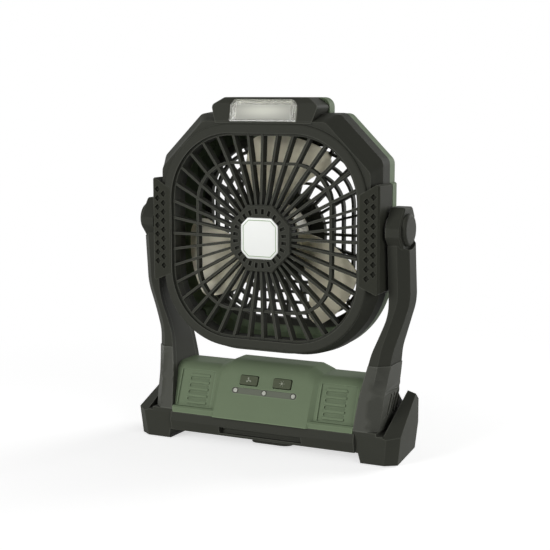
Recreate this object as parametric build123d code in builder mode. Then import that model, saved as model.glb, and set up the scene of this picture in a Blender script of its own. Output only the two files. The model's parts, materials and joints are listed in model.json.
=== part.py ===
from build123d import *
import os
from math import atan2, cos, degrees, radians, sin

os.makedirs("parts", exist_ok=True)

# Portable camping fan. X runs across, Y from the front (-) to the back (+), Z up.
# The origin is the centre of the footprint, on the surface the fan stands on. Millimetres.

# ---------- Fits ----------
moving_gap = 0.3  # air between bodies that move past each other
seat_gap = 0.1  # air between pieces fitted into each other in one body
running_fit = 0.05  # radial play of a shaft in its bore
wall = 2.4  # moulded wall

# ---------- Base ----------
foot_depth = 65.0
foot_inner = 75.0  # inner face of a foot
foot_draft = 2.5  # how far a foot's outside leans in towards the ground
foot_inner_draft = 4.6
foot_front_corner = 100.5
foot_half_span = 108.8
foot_rear_span = 103.0
foot_top = 24.3
foot_peak = 46.0
foot_peak_y = 18.0
foot_groove_z = 22.0  # bottom of the gap between an arm and the foot's outer rim
foot_slope = 0.5
foot_tilt = 0.3  # fall of the foot's top towards the outside, per mm
rim_inner = 97.5  # where the raised outer rim of a foot begins
sole_thickness = 2.6
sole_proud = 0.6
sole_recess = 4.0  # from a foot's edge to its rubber sole
chassis_screw_places = [(x, y) for x in (-62, 62) for y in (-21.5, 21.5)]

floor_z = 8.0  # underside of the chassis between the feet
chassis_top = 22.2
cover_bottom = 22.3
housing_depth = 70.6
housing_top = 63.1
housing_lean = 19.0  # how far the front face leans back over its height
housing_shoulder = 16.0
centre_flat = 32.4  # half the straight part of the raised middle
centre_end = 38.5
centre_end_drop = 3.0
centre_foot = 42.2
side_bottom_depth = 62.4
side_lean = 14.1
side_top = 58.2
side_shoulder = 12.0
lip_height = 4.9
lip_depth = 66.6
inset_start = 44.6
inset_end = 73.0
inset_low = 27.6
inset_high = 53.5
inset_depth = 1.0
groove_count = 4
groove_pitch = 4.9
groove_length = 17.0
groove_height = 2.5
groove_depth = 0.8
groove_centre = 57.0
groove_low = 32.6

# ---------- Controls ----------
button_spacing = 27.6
button_width = 14.6
button_height = 7.2
button_corner = 1.4
button_z = 50.3
button_proud = 1.2
button_travel = 0.8
button_flange = 1.0
button_gap = 0.5  # air round a button in its opening
strip_z = 42.7
strip_length = 54.0
strip_height = 4.6
strip_depth = 1.0
dot_spacing = 24.0
dot_radius = 1.6
board_width = 66.0
board_height = 22.0
board_thickness = 1.6
board_z = 45.0
board_drop = 9.4  # from the housing's outer face to the board's front
switch_size = 6.0
switch_height = 3.5
port_width = 8.9
port_height = 3.3
port_length = 7.4
port_wall = 0.4
port_z = 34.0

# ---------- Battery ----------
cell_radius = 10.6
cell_length = 70.0
cell_spacing = 23.0
cradle_floor = 1.6

# ---------- Hanging hook under the base ----------
hook_half = 17.0
hook_bar = 3.6
hook_thickness = 4.0
hook_reach = 31.0
hook_axis_y = 14.0
hook_axis_z = 3.3
hook_pin_radius = 1.5
hook_pin_length = 3.4
lug_width = 4.4

# ---------- Arms ----------
arm_inner_top = 95.0
arm_outer_top = 109.0
arm_inner_bend = 108.0
arm_outer_bend = 117.0
arm_inner_mid = (83.0, 79.0)
arm_outer_mid = (97.0, 81.0)
arm_inner_low = (77.3, 50.0)
arm_outer_low = (93.2, 50.0)
arm_inner_foot = 74.9
arm_outer_foot = 92.0
arm_bend_radius = 45.0
arm_front_line = [
    (-32.4, foot_top), (-29.5, 38), (-25.3, 52.8), (-21.5, 67),
    (-17.3, 88), (-16.5, 104), (-18, 130), (-20.5, 157.5),
]
arm_rear_line = [(6, 150), (8.5, 130), (13.5, 90), (15.5, 70), (15.8, 57)]
arm_chamfer_front = 7.0
arm_chamfer_rear = 6.0
arm_cover_thickness = 1.6
channel_inset = 4.6  # from an arm's front and rear edge to its wire channel
channel_depth_wall = 5.0
arm_channel_low = 44.0
arm_channel_high = 146.0
arm_screw_places = [(x, y) for x in (-83.5, 83.5) for y in (-18, 18)]
arm_screw_seat = 16.0
knuckle_profile = [  # side view round the tilt axis, from the nose upwards
    (-15.0, -4.5), (-15.0, 1.5), (-4.5, 15.8), (10.5, 15.8),
    (15.0, 9.0), (15.0, -9.4), (9.4, -15.0), (-7.0, -13.8),
]
knuckle_clear = 14.0  # radius cleared of the arm's outer wall round the knuckle's cap
knuckle_length = 11.0
knuckle_chamfer = 1.0
rib_count = 4
rib_pitch = 6.2
rib_slot_width = 3.4
rib_depth = 1.4
rib_tilt = 62.0

# ---------- Tilt pivot ----------
pivot_y = -10.5
pivot_z = 168.5
pin_radius = 4.5
pin_flange_radius = 5.8
pin_pad_x = 86.2  # inner face of the pads that carry the pins in the bezel's side walls
bush_radius = 7.0
bush_length = 5.4
washer_radius = 9.0
retainer_radius = 7.6
retainer_thickness = 1.2
cap_radius = 11.6
cap_thickness = 2.8
cap_round = 2.2
cap_seat_radius = 10.0
cap_seat_depth = 6.0  # from the knuckle's inner face

# ---------- Fan head ----------
head_z = 159.2  # fan axis
face_step = 17.0  # from the pivot forward to the flat face of the bezel
crease_step = 12.0  # from the pivot forward to the first crease of the bezel
ridge_step = 5.0  # from the pivot forward to the bezel's widest front edge
parting_step = 6.0  # from the pivot back to the joint of the two shells
shell_mid_step = 16.5
back_step = 30.0
bezel_half = 90.0
bezel_top = 90.8
bezel_bottom = 87.4
bezel_cut = 33.2
bezel_round = 66.0
ridge_inset = 0.9
crease_inset = 3.7
crease_cut = 35.0
face_half = 84.5
face_top = 84.5
face_bottom = 84.2
face_cut = 35.0
face_round = 66.0
soft_corner = 7.0
opening_half = 76.0
opening_round = 50.0
lip_width = 7.0
lip_proud = 2.0
duct_length = 19.0
head_screw_places = [(67.2, 66.6), (64.4, -64.4), (-67.2, 66.6), (-64.4, -64.4)]
screw_well_step = 8.5  # from the joint of the two shells back to the screws' seats
grip_half = 92.3
grip_low = 30.5
grip_low_outer = 37.3
grip_high = 34.0
grip_high_outer = 43.0
grip_proud = 2.0
grip_corner = 2.5
dimple_columns = (82.8, 87.9)
dimple_middle = 2.4
dimple_rows = 9
dimple_pitch = 6.8
dimple_size = 3.7
dimple_depth = 1.8
dimple_taper = 20.0

# ---------- Front grille and hub ----------
spoke_count = 40
spoke_thickness = 1.8
spoke_depth = 6.6
spoke_front_hub = 20.0  # from the pivot forward to the spokes' front at the hub
spoke_front_rim = 16.0
grille_frame = 1.6
middle_ring_half = 54.3
middle_ring_width = 1.9
ring_round_share = 0.56
hub_apothem = 24.3
hub_proud = 1.7
hub_seat_depth = 7.0
badge_half = 15.0
badge_cut = 5.4
badge_thickness = 1.2
vent_count = 24
vent_width = 2.4
vent_length = 4.0

# ---------- Rear shell and grille ----------
rear_half = 80.0
rear_opening_half = 68.0
rear_opening_round = 44.0
rear_ring_edge = 6.5  # from the outermost ring to the opening's edge
rear_ring_count = 4
rear_ring_first = 37.5
rear_ring_width = 1.8
rear_rib_count = 24
rear_grille_depth = 4.5
rear_flange = 3.4  # how far the grille's frame reaches past the opening, inside the shell
motor_plate_radius = 31.0

# ---------- Rotor and motor ----------
blade_count = 3
blade_radius = 74.4
blade_thickness = 1.5
blade_phase = -17.0  # turn of the rotor from a blade pointing straight up
blade_step = 5.0  # from the pivot back to the middle of the blades
blade_pitch = 0.29  # travel along the axis per degree
blade_half_span = 28.0
blade_sweep = 30.0  # turn of the root against the tip, in degrees
hub_radius = 22.0
hub_front_step = 6.5  # from the pivot forward to the front of the rotor hub
hub_length = 20.0
can_radius = 19.6
can_wall = 1.2
magnet_thickness = 2.4
shaft_radius = 1.5
bearing_radius = 3.6
bearing_length = 3.0
tube_radius = 5.4
stator_radius = 15.2
stator_length = 9.0
pole_count = 9
tooth_width = 2.4
motor_plate_thickness = 2.4
motor_screw_circle = 14.0

# ---------- Lamp ----------
lamp_bottom_half = 38.8
lamp_shoulder_half = 43.0
lamp_top_half = 34.0
lamp_bottom = 83.1
lamp_shoulder = 96.0
lamp_top = 101.9
lamp_front_step = 17.6
lamp_front_lean = 3.0  # how far the lamp's front face leans back over its height
lamp_brow = 4.4  # height of the slope above the lamp's front face
lamp_depth_back = 18.0  # from the pivot back to the rear of the lamp's green end
lens_half = 27.0
lens_top_half = 23.6
lens_bottom = 84.3
lens_top = 100.9
lens_cut = 5.0
lens_thickness = 1.8
reflector_back = 9.0
led_count = 5
led_size = 3.0
led_pitch = 8.0

# ---------- Fasteners ----------
screw_radius = 1.5
screw_head_radius = 2.8
screw_head_height = 1.8
screw_tower_radius = 3.3

# ---------- Values worked out from those above ----------
face_y = pivot_y - face_step
crease_y = pivot_y - crease_step
ridge_y = pivot_y - ridge_step
parting_y = pivot_y + parting_step
shell_mid_y = pivot_y + shell_mid_step
back_y = pivot_y + back_step
screw_well_y = parting_y + screw_well_step
half_foot = foot_depth / 2
lean_angle = degrees(atan2(housing_lean, housing_top - cover_bottom))
side_angle = degrees(atan2(side_lean, side_top - cover_bottom))
head_axis = Axis((0, 0, head_z), (0, 1, 0))


# ================= Base =================


def foot_plan(z, inset=0.0):
    """Plan view of the right foot"""
    front = half_foot - inset
    with BuildSketch(Plane.XY.offset(z)) as plan:
        with BuildLine():
            Polyline(
                (foot_inner + inset, -front),
                (foot_front_corner - inset, -front),
                (foot_half_span - inset, -half_foot + 7.5 + inset * 0.3),
                (foot_rear_span - inset, half_foot - 6),
                (foot_rear_span - 6 - inset, front),
                (foot_inner + inset, front),
                close=True,
            )
        make_face()
    return plan.sketch


def rim_profile(x):
    """Side view of the raised outer rim of the right foot at x"""
    drop = foot_tilt * (x - rim_inner)
    front_z = foot_peak - foot_slope * (foot_peak_y + half_foot)
    with BuildSketch(Plane.YZ.offset(x)) as profile:
        with BuildLine():
            Polyline(
                (-half_foot - 1, sole_proud),
                (-half_foot - 1, front_z - drop),
                (foot_peak_y, foot_peak - drop),
                (foot_peak_y + 9, foot_peak - 6 - drop),
                (half_foot + 1, foot_peak - 17 - drop),
                (half_foot + 1, sole_proud),
                close=True,
            )
        make_face()
    return profile.sketch


with BuildPart() as foot_form:
    loft([rim_profile(rim_inner), rim_profile(foot_half_span + 1)], ruled=True)
    with BuildSketch(Plane.YZ.offset(foot_inner)):
        with Locations((0, (foot_groove_z + sole_proud) / 2)):
            Rectangle(foot_depth + 2, foot_groove_z - sole_proud)
    extrude(amount=rim_inner - foot_inner)
    with BuildSketch(Plane.YZ.offset(foot_inner)):
        with Locations((0, (foot_top + sole_proud) / 2)):
            Rectangle(foot_depth + 2, foot_top - sole_proud)
    extrude(amount=arm_outer_foot + 0.6 - foot_inner)
    with BuildPart(mode=Mode.PRIVATE) as drafted:
        loft([foot_plan(0, foot_draft), foot_plan(foot_groove_z - 1, 0)], ruled=True)
        extrude(foot_plan(foot_groove_z - 1), amount=60)
    add(drafted.part, mode=Mode.INTERSECT)
    # the inner side leans out below the band between the feet
    with BuildSketch(Plane.XZ):
        with BuildLine():
            Polyline((foot_inner - 1, -1), (foot_inner + foot_inner_draft + 0.6, -1),
                     (foot_inner + foot_inner_draft * 0.7, floor_z), (foot_inner - 1, floor_z), close=True)
        make_face()
    extrude(amount=60, both=True, mode=Mode.SUBTRACT)

with BuildPart() as base_chassis:
    add(foot_form.part)
    mirror(foot_form.part, about=Plane.YZ)
    # band between the feet
    with BuildSketch(Plane.YZ):
        with BuildLine():
            Polyline((0, floor_z), (-32.2, floor_z), (-34.4, 16.0), (-33.4, chassis_top), (0, chassis_top))
            mirror(about=Plane.YZ)
        make_face()
    extrude(amount=foot_inner + 1, both=True)
    # hollow for the battery
    with BuildSketch(Plane.XY.offset(floor_z + wall)):
        Rectangle(2 * (foot_inner - wall), 60)
    extrude(amount=40, mode=Mode.SUBTRACT)
    # dark recess along the front and the back, with its inner wall
    for side in (-1, 1):
        with Locations((0, side * 28.3, floor_z + wall + 3.4)):
            Box(72.8, 3.6, 6.8)
        with Locations((0, side * 33, 12.5)):
            Box(68, 7.4, 5, mode=Mode.SUBTRACT)
    # screw towers
    with BuildSketch(Plane.XY.offset(floor_z)):
        with Locations(*chassis_screw_places):
            Circle(screw_head_radius + 1.8)
    extrude(amount=5)
    with BuildSketch(Plane.XY.offset(floor_z)):
        with Locations(*chassis_screw_places):
            Circle(screw_head_radius + 0.2)
    extrude(amount=2.6, mode=Mode.SUBTRACT)
    with BuildSketch(Plane.XY.offset(floor_z)):
        with Locations(*chassis_screw_places):
            Circle(screw_radius + seat_gap)
    extrude(amount=6, mode=Mode.SUBTRACT)
    # wells for the screws of the arms
    with BuildSketch(Plane.XY):
        with Locations(*arm_screw_places):
            Circle(screw_head_radius + 0.2)
    extrude(amount=arm_screw_seat, mode=Mode.SUBTRACT)
    with BuildSketch(Plane.XY):
        with Locations(*arm_screw_places):
            Circle(screw_radius + seat_gap)
    extrude(amount=30, mode=Mode.SUBTRACT)
    # recesses for the rubber soles
    sole_pocket = extrude(foot_plan(0, sole_recess - seat_gap), amount=sole_thickness + seat_gap,
                          mode=Mode.PRIVATE)
    add(sole_pocket, mode=Mode.SUBTRACT)
    mirror(sole_pocket, about=Plane.YZ, mode=Mode.SUBTRACT)
    # lugs that carry the hanging hook
    for side in (-1, 1):
        lug_x = side * (hook_half + moving_gap + lug_width / 2)
        with BuildSketch(Plane.YZ.offset(lug_x)):
            with Locations((hook_axis_y, hook_axis_z)):
                Circle(2.9)
            with Locations((hook_axis_y, (hook_axis_z + floor_z) / 2)):
                Rectangle(6.2, floor_z - hook_axis_z)
        extrude(amount=lug_width / 2, both=True)
        with BuildSketch(Plane.YZ.offset(lug_x)):
            with Locations((hook_axis_y, hook_axis_z)):
                Circle(hook_pin_radius + running_fit)
        extrude(amount=lug_width, both=True, mode=Mode.SUBTRACT)
base_chassis.part.label = "base_chassis"
export_step(base_chassis.part, "parts/base_chassis.step")

with BuildPart() as rubber_feet:
    extrude(foot_plan(0, sole_recess), amount=sole_thickness)
    chamfer(rubber_feet.faces().sort_by(Axis.Z)[0].edges(), length=0.5)
    mirror(about=Plane.YZ)
rubber_feet.part.label = "rubber_feet"
export_step(rubber_feet.part, "parts/rubber_feet.step")

with BuildPart() as hang_hook:
    with BuildSketch(Plane.XY.offset(hook_axis_z - hook_thickness / 2)):
        with Locations((0, hook_axis_y - hook_reach / 2)):
            RectangleRounded(2 * hook_half, hook_reach, 7)
        with Locations((0, hook_axis_y - 4)):
            Rectangle(2 * hook_half, 8)
        with Locations((0, hook_axis_y - hook_reach / 2)):
            RectangleRounded(2 * (hook_half - hook_bar), hook_reach - 2 * hook_bar, 4, mode=Mode.SUBTRACT)
        with Locations((0, hook_axis_y - 4)):
            Rectangle(2 * (hook_half - hook_bar), 10, mode=Mode.SUBTRACT)
    extrude(amount=hook_thickness)
    for side in (-1, 1):
        with BuildSketch(Plane.YZ.offset(side * (hook_half - hook_bar / 2))):
            with Locations((hook_axis_y, hook_axis_z)):
                Circle(2.6)
        extrude(amount=hook_bar / 2, both=True)
        with BuildSketch(Plane.YZ.offset(side * (hook_half + hook_pin_length / 2))):
            with Locations((hook_axis_y, hook_axis_z)):
                Circle(hook_pin_radius)
        extrude(amount=hook_pin_length / 2 + 0.4, both=True)
hang_hook.part.label = "hang_hook"
export_step(hang_hook.part, "parts/hang_hook.step")


def housing_section(x, half_bottom, angle, top, shoulder, inset=0.0):
    """Side view of the green housing at x: leaning faces and round shoulders"""
    low = half_bottom - inset / cos(radians(angle))
    lean = (top - inset - cover_bottom) * sin(radians(angle)) / cos(radians(angle))
    with BuildSketch(Plane.YZ.offset(x)) as section:
        with BuildLine():
            Polyline(
                (-low, cover_bottom),
                (-low + lean, top - inset),
                (low - lean, top - inset),
                (low, cover_bottom),
                close=True,
            )
        make_face()
        fillet(section.vertices().group_by(Axis.Y)[-1], radius=shoulder - inset)
    return section.sketch


def centre_section(x, drop=0.0, inset=0.0):
    return housing_section(x, housing_depth / 2, lean_angle, housing_top - drop, housing_shoulder, inset)


def side_section(x, inset=0.0):
    return housing_section(x, side_bottom_depth / 2, side_angle, side_top, side_shoulder, inset)


def housing_body(inset, reach):
    """Raised middle with sloping ends, and the lower part that runs between the arms"""
    with BuildPart() as body:
        extrude(centre_section(0, 0, inset), amount=centre_flat - inset, both=True)
        for side in (-1, 1):
            flat_x = side * (centre_flat - inset)
            end_x = side * (centre_end - inset)
            foot_x = side * (centre_foot - inset)
            end = centre_section(end_x, centre_end_drop, inset)
            loft([centre_section(flat_x, 0, inset), end], ruled=True)
            loft([end, side_section(foot_x, inset)], ruled=True)
        extrude(side_section(0, inset), amount=reach, both=True)
    return body.part


def slope_plane(z, inward=0.0, back=False):
    """Plane on the raised middle's leaning face at height z, moved inwards"""
    lean = radians(lean_angle)
    y = -housing_depth / 2 + (z - cover_bottom) * sin(lean) / cos(lean)
    normal = Vector(0, -cos(lean), sin(lean))
    across = (1, 0, 0)
    if back:
        y = -y
        normal = Vector(0, cos(lean), sin(lean))
        across = (-1, 0, 0)
    return Plane(origin=Vector(0, y, z) - normal * inward, x_dir=across, z_dir=normal)


def side_plane(z):
    """Plane on the lower housing's leaning front face at height z"""
    lean = radians(side_angle)
    y = -side_bottom_depth / 2 + (z - cover_bottom) * sin(lean) / cos(lean)
    return Plane(origin=Vector(0, y, z), x_dir=(1, 0, 0), z_dir=Vector(0, -cos(lean), sin(lean)))


def arm_front(inner_shift=0.0, outer_shift=0.0, low=foot_top, thickness=None):
    """Front view of the right arm, or of a skin of the given thickness on its inner face"""
    steep = (foot_top - low) / (arm_inner_low[1] - foot_top)
    inner = [
        (arm_inner_top, pivot_z + 20),
        (arm_inner_top, arm_inner_bend),
        arm_inner_mid,
        arm_inner_low,
        (arm_inner_foot - steep * (arm_inner_low[0] - arm_inner_foot), low),
    ]
    outer = [
        (arm_outer_top, pivot_z + 20),
        (arm_outer_top, arm_outer_bend),
        arm_outer_mid,
        arm_outer_low,
        (arm_outer_foot, low),
    ]
    if thickness:
        outer = [(x + thickness, z) for x, z in inner]
    inner = [(x + inner_shift, z) for x, z in inner]
    outer = [(x + outer_shift, z) for x, z in reversed(outer)]
    with BuildSketch(Plane.XZ) as view:
        with BuildLine():
            Polyline(*inner, *outer, close=True)
        make_face()
        bends = view.vertices().filter_by(lambda v: 45 < v.Y < 125)
        fillet(bends, radius=arm_bend_radius)
    return view.sketch


board_screw_places = [(side * (board_width / 2 - 4), 0) for side in (-1, 1)]

with BuildPart() as cover_ends:
    # everything beyond the inner faces of the arms
    for side in (0, 1):
        view = arm_front(-2 * seat_gap, 20, cover_bottom - 1)
        beyond = extrude(view, amount=60, both=True, mode=Mode.PRIVATE)
        add(mirror(beyond, about=Plane.YZ, mode=Mode.PRIVATE) if side else beyond)

with BuildPart() as base_cover:
    add(housing_body(0, 84))
    # lip along the bottom of the lower housing
    with BuildSketch(Plane.YZ):
        with BuildLine():
            Polyline((0, cover_bottom), (-lip_depth / 2, cover_bottom), (-lip_depth / 2, cover_bottom + 3.7),
                     (-lip_depth / 2 + 1.4, cover_bottom + lip_height), (0, cover_bottom + lip_height))
            mirror(about=Plane.YZ)
        make_face()
    extrude(amount=84, both=True)
    add(cover_ends.part, mode=Mode.SUBTRACT)
    add(housing_body(wall, foot_inner - 2 * wall), mode=Mode.SUBTRACT)
    # inset panels with grip grooves, front
    for side in (-1, 1):
        panel_x = side * (inset_start + inset_end) / 2
        with BuildSketch(side_plane((inset_low + inset_high) / 2)):
            with Locations((panel_x, 0)):
                Rectangle(inset_end - inset_start, (inset_high - inset_low) / cos(radians(side_angle)))
        extrude(amount=-inset_depth, mode=Mode.SUBTRACT)
        for row in range(groove_count):
            with BuildSketch(side_plane(groove_low + row * groove_pitch)):
                with Locations((side * groove_centre, 0)):
                    SlotOverall(groove_length, groove_height)
            extrude(amount=-(inset_depth + groove_depth), mode=Mode.SUBTRACT)
    # button openings
    with BuildSketch(slope_plane(button_z)):
        with Locations((-button_spacing / 2, 0), (button_spacing / 2, 0)):
            RectangleRounded(button_width + 2 * button_gap, button_height + 2 * button_gap, button_corner)
    extrude(amount=-2 * wall, both=True, mode=Mode.SUBTRACT)
    # recess for the indicator strip, with light holes
    with BuildSketch(slope_plane(strip_z)):
        SlotOverall(strip_length + 2 * seat_gap, strip_height + 2 * seat_gap)
    extrude(amount=-strip_depth, mode=Mode.SUBTRACT)
    with BuildSketch(slope_plane(strip_z)):
        with Locations((-dot_spacing, 0), (0, 0), (dot_spacing, 0)):
            Circle(dot_radius * 0.7)
    extrude(amount=-2 * wall, mode=Mode.SUBTRACT)
    # charging port opening, back
    with BuildSketch(slope_plane(port_z, 0, True)):
        SlotOverall(port_width + 2 * seat_gap, port_height + 2 * seat_gap)
    extrude(amount=-2 * wall, both=True, mode=Mode.SUBTRACT)
    # screw towers
    with BuildSketch(Plane.XY.offset(floor_z + 5 + seat_gap)):
        with Locations(*chassis_screw_places):
            Circle(screw_radius + 2)
            Circle(screw_radius, mode=Mode.SUBTRACT)
    extrude(amount=20)
    # posts that carry the control board
    with BuildSketch(slope_plane(board_z, wall * 0.6)):
        with Locations(*board_screw_places):
            Circle(2.8)
    extrude(amount=-(board_drop - wall * 0.6 - seat_gap))
    with BuildSketch(slope_plane(board_z, wall + 1)):
        with Locations(*board_screw_places):
            Circle(screw_radius)
    extrude(amount=-board_drop, mode=Mode.SUBTRACT)
base_cover.part.label = "base_cover"
export_step(base_cover.part, "parts/base_cover.step")

with BuildPart() as chassis_screws:
    with BuildSketch(Plane.XY.offset(floor_z + 0.7)):
        with Locations(*chassis_screw_places):
            Circle(screw_head_radius)
    extrude(amount=screw_head_height)
    with BuildSketch(Plane.XY.offset(floor_z + 0.7)):
        with Locations(*chassis_screw_places):
            Circle(screw_radius)
    extrude(amount=18)
chassis_screws.part.label = "chassis_screws"
export_step(chassis_screws.part, "parts/chassis_screws.step")

# ---------- Battery ----------
cell_z = floor_z + wall + seat_gap + cradle_floor + cell_radius + seat_gap

with BuildPart() as battery_cells:
    with BuildSketch(Plane.YZ):
        with Locations((-cell_spacing / 2, cell_z), (cell_spacing / 2, cell_z)):
            Circle(cell_radius)
    extrude(amount=cell_length / 2, both=True)
battery_cells.part.label = "battery_cells"
export_step(battery_cells.part, "parts/battery_cells.step")

with BuildPart() as battery_holder:
    with Locations((0, 0, floor_z + wall + seat_gap + 5.5)):
        Box(cell_length + 6, 2 * cell_spacing + 3, 11)
    with BuildSketch(Plane.YZ):
        with Locations((-cell_spacing / 2, cell_z), (cell_spacing / 2, cell_z)):
            Circle(cell_radius + seat_gap)
    extrude(amount=cell_length / 2 + seat_gap, both=True, mode=Mode.SUBTRACT)
battery_holder.part.label = "battery_holder"
export_step(battery_holder.part, "parts/battery_holder.step")

# ---------- Controls ----------
plunger_height = board_drop - switch_height - wall - 2 * moving_gap - button_flange - button_travel

with BuildPart() as control_board:
    with BuildSketch(slope_plane(board_z, board_drop)):
        Rectangle(board_width, board_height)
        with Locations(*board_screw_places):
            Circle(screw_radius + seat_gap, mode=Mode.SUBTRACT)
    extrude(amount=-board_thickness)
control_board.part.label = "control_board"
export_step(control_board.part, "parts/control_board.step")

with BuildPart() as board_screws:
    with BuildSketch(slope_plane(board_z, board_drop + board_thickness)):
        with Locations(*board_screw_places):
            Circle(screw_head_radius)
    extrude(amount=-screw_head_height)
    with BuildSketch(slope_plane(board_z, board_drop + board_thickness)):
        with Locations(*board_screw_places):
            Circle(screw_radius)
    extrude(amount=6.5)
board_screws.part.label = "board_screws"
export_step(board_screws.part, "parts/board_screws.step")

with BuildPart() as tact_switches:
    with BuildSketch(slope_plane(button_z, board_drop)):
        with Locations((-button_spacing / 2, 0), (button_spacing / 2, 0)):
            Rectangle(switch_size, switch_size)
    extrude(amount=switch_height)
    with BuildSketch(slope_plane(button_z, board_drop)):
        with Locations((-button_spacing / 2, 0), (button_spacing / 2, 0)):
            Circle(1.7)
    extrude(amount=switch_height + plunger_height)
tact_switches.part.label = "tact_switches"
export_step(tact_switches.part, "parts/tact_switches.step")

with BuildPart() as indicator_leds:
    with BuildSketch(slope_plane(strip_z, board_drop)):
        with Locations((-dot_spacing, 0), (0, 0), (dot_spacing, 0)):
            Rectangle(3.2, 2.6)
    extrude(amount=1.6)
indicator_leds.part.label = "indicator_leds"
export_step(indicator_leds.part, "parts/indicator_leds.step")

with BuildPart() as indicator_strip:
    with BuildSketch(slope_plane(strip_z, strip_depth)):
        SlotOverall(strip_length, strip_height)
        with Locations((-dot_spacing, 0), (0, 0), (dot_spacing, 0)):
            Circle(dot_radius + seat_gap / 2, mode=Mode.SUBTRACT)
    extrude(amount=strip_depth - 0.3)
indicator_strip.part.label = "indicator_strip"
export_step(indicator_strip.part, "parts/indicator_strip.step")

with BuildPart() as indicator_lenses:
    with BuildSketch(slope_plane(strip_z, strip_depth)):
        with Locations((-dot_spacing, 0), (0, 0), (dot_spacing, 0)):
            Circle(dot_radius)
    extrude(amount=strip_depth - 0.1)
    with BuildSketch(slope_plane(strip_z, strip_depth)):
        with Locations((-dot_spacing, 0), (0, 0), (dot_spacing, 0)):
            Circle(dot_radius * 0.7 - seat_gap / 2)
    extrude(amount=-wall)
indicator_lenses.part.label = "indicator_lenses"
export_step(indicator_lenses.part, "parts/indicator_lenses.step")


def button_block(x):
    """Push button at x: cap in the opening and a flange behind the wall"""
    with BuildPart() as block:
        with BuildSketch(slope_plane(button_z, wall + moving_gap + button_flange)):
            with Locations((x, 0)):
                Rectangle(button_width + 3, button_height + 3)
        extrude(amount=button_flange)
        with BuildSketch(slope_plane(button_z, wall + moving_gap)):
            with Locations((x, 0)):
                RectangleRounded(button_width, button_height, button_corner)
        extrude(amount=wall + moving_gap + button_proud)
        top = block.faces().sort_by(Axis(origin=(0, 0, 0), direction=(0, -1, 0.46)))[-1]
        fillet(top.edges(), radius=0.5)
    return block.part


with BuildPart() as fan_button:
    add(button_block(-button_spacing / 2))
fan_button.part.label = "fan_button"
export_step(fan_button.part, "parts/fan_button.step")

with BuildPart() as lamp_button:
    add(button_block(button_spacing / 2))
lamp_button.part.label = "lamp_button"
export_step(lamp_button.part, "parts/lamp_button.step")

# ---------- Charging port ----------
with BuildPart() as charge_port:
    with BuildSketch(slope_plane(port_z, 0.4, True)):
        SlotOverall(port_width, port_height)
        SlotOverall(port_width - 2 * port_wall, port_height - 2 * port_wall, mode=Mode.SUBTRACT)
    extrude(amount=-port_length)
    with BuildSketch(slope_plane(port_z, 0.4 + port_length, True)):
        SlotOverall(port_width, port_height)
    extrude(amount=1.0)
    with BuildSketch(slope_plane(port_z, 0.4 + port_length, True)):
        Rectangle(port_width - 2.2, 0.7)
    extrude(amount=port_length - 1.2)
charge_port.part.label = "charge_port"
export_step(charge_port.part, "parts/charge_port.step")

with BuildPart() as port_board:
    with BuildSketch(slope_plane(port_z, 0.4 + port_length + seat_gap, True)):
        Rectangle(20, 9)
    extrude(amount=-1.2)
port_board.part.label = "port_board"
export_step(port_board.part, "parts/port_board.step")

# ================= Arms =================


def arm_side():
    """Side view of an arm, from its foot to the middle of the knuckle"""
    with BuildSketch(Plane.YZ) as view:
        with BuildLine():
            Spline(*arm_front_line)
            Polyline(arm_front_line[-1], (pivot_y, pivot_z), (4.3, 166.3), arm_rear_line[0])
            Spline(*arm_rear_line)
            Polyline(arm_rear_line[-1], (19, 46), (31, 36), (32.3, foot_top), arm_front_line[0])
        make_face()
    return view.sketch


def arm_channel_side(inset):
    """Side view of the wire channel, and of its cover, inside the arm's outline"""
    low = arm_channel_low + inset - channel_inset
    high = arm_channel_high - inset + channel_inset
    with BuildSketch(Plane.YZ) as view:
        with BuildLine():
            front = [(y + inset, z) for y, z in arm_front_line[2:-1]]
            rear = [(y - inset, z) for y, z in arm_rear_line[1:]]
            Polyline((front[0][0] - 2.4, low), *front, (front[-1][0] - 0.8, high),
                     (rear[0][0] - 0.4, high), *rear, (rear[-1][0] + 2, low), close=True)
        make_face()
    return view.sketch


def arm_outer_x(z):
    """Outer face of the right arm at height z, without the softened bends"""
    stations = [(foot_top, arm_outer_foot), (arm_outer_low[1], arm_outer_low[0])]
    stations += [(arm_outer_mid[1], arm_outer_mid[0]), (arm_outer_bend, arm_outer_top)]
    for (z0, x0), (z1, x1) in zip(stations, stations[1:]):
        if z <= z1:
            return x0 + (x1 - x0) * (z - z0) / (z1 - z0)
    return arm_outer_top


def on_outer_corner(edge):
    """True for the long edges that run along the arm's outer face"""
    middle = edge @ 0.5
    return abs(middle.X - arm_outer_x(middle.Z)) < 1.6 and edge.bounding_box().size.Z > 2



def knuckle_side(x):
    """Side view of the knuckle at x: a block round the tilt axis, its front leaning back"""
    with BuildSketch(Plane.YZ.offset(x)) as side:
        with BuildLine():
            Polyline(*[(pivot_y + y, pivot_z + z) for y, z in knuckle_profile], close=True)
        make_face()
        fillet(side.vertices(), radius=1.8)
    return side.sketch


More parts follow.
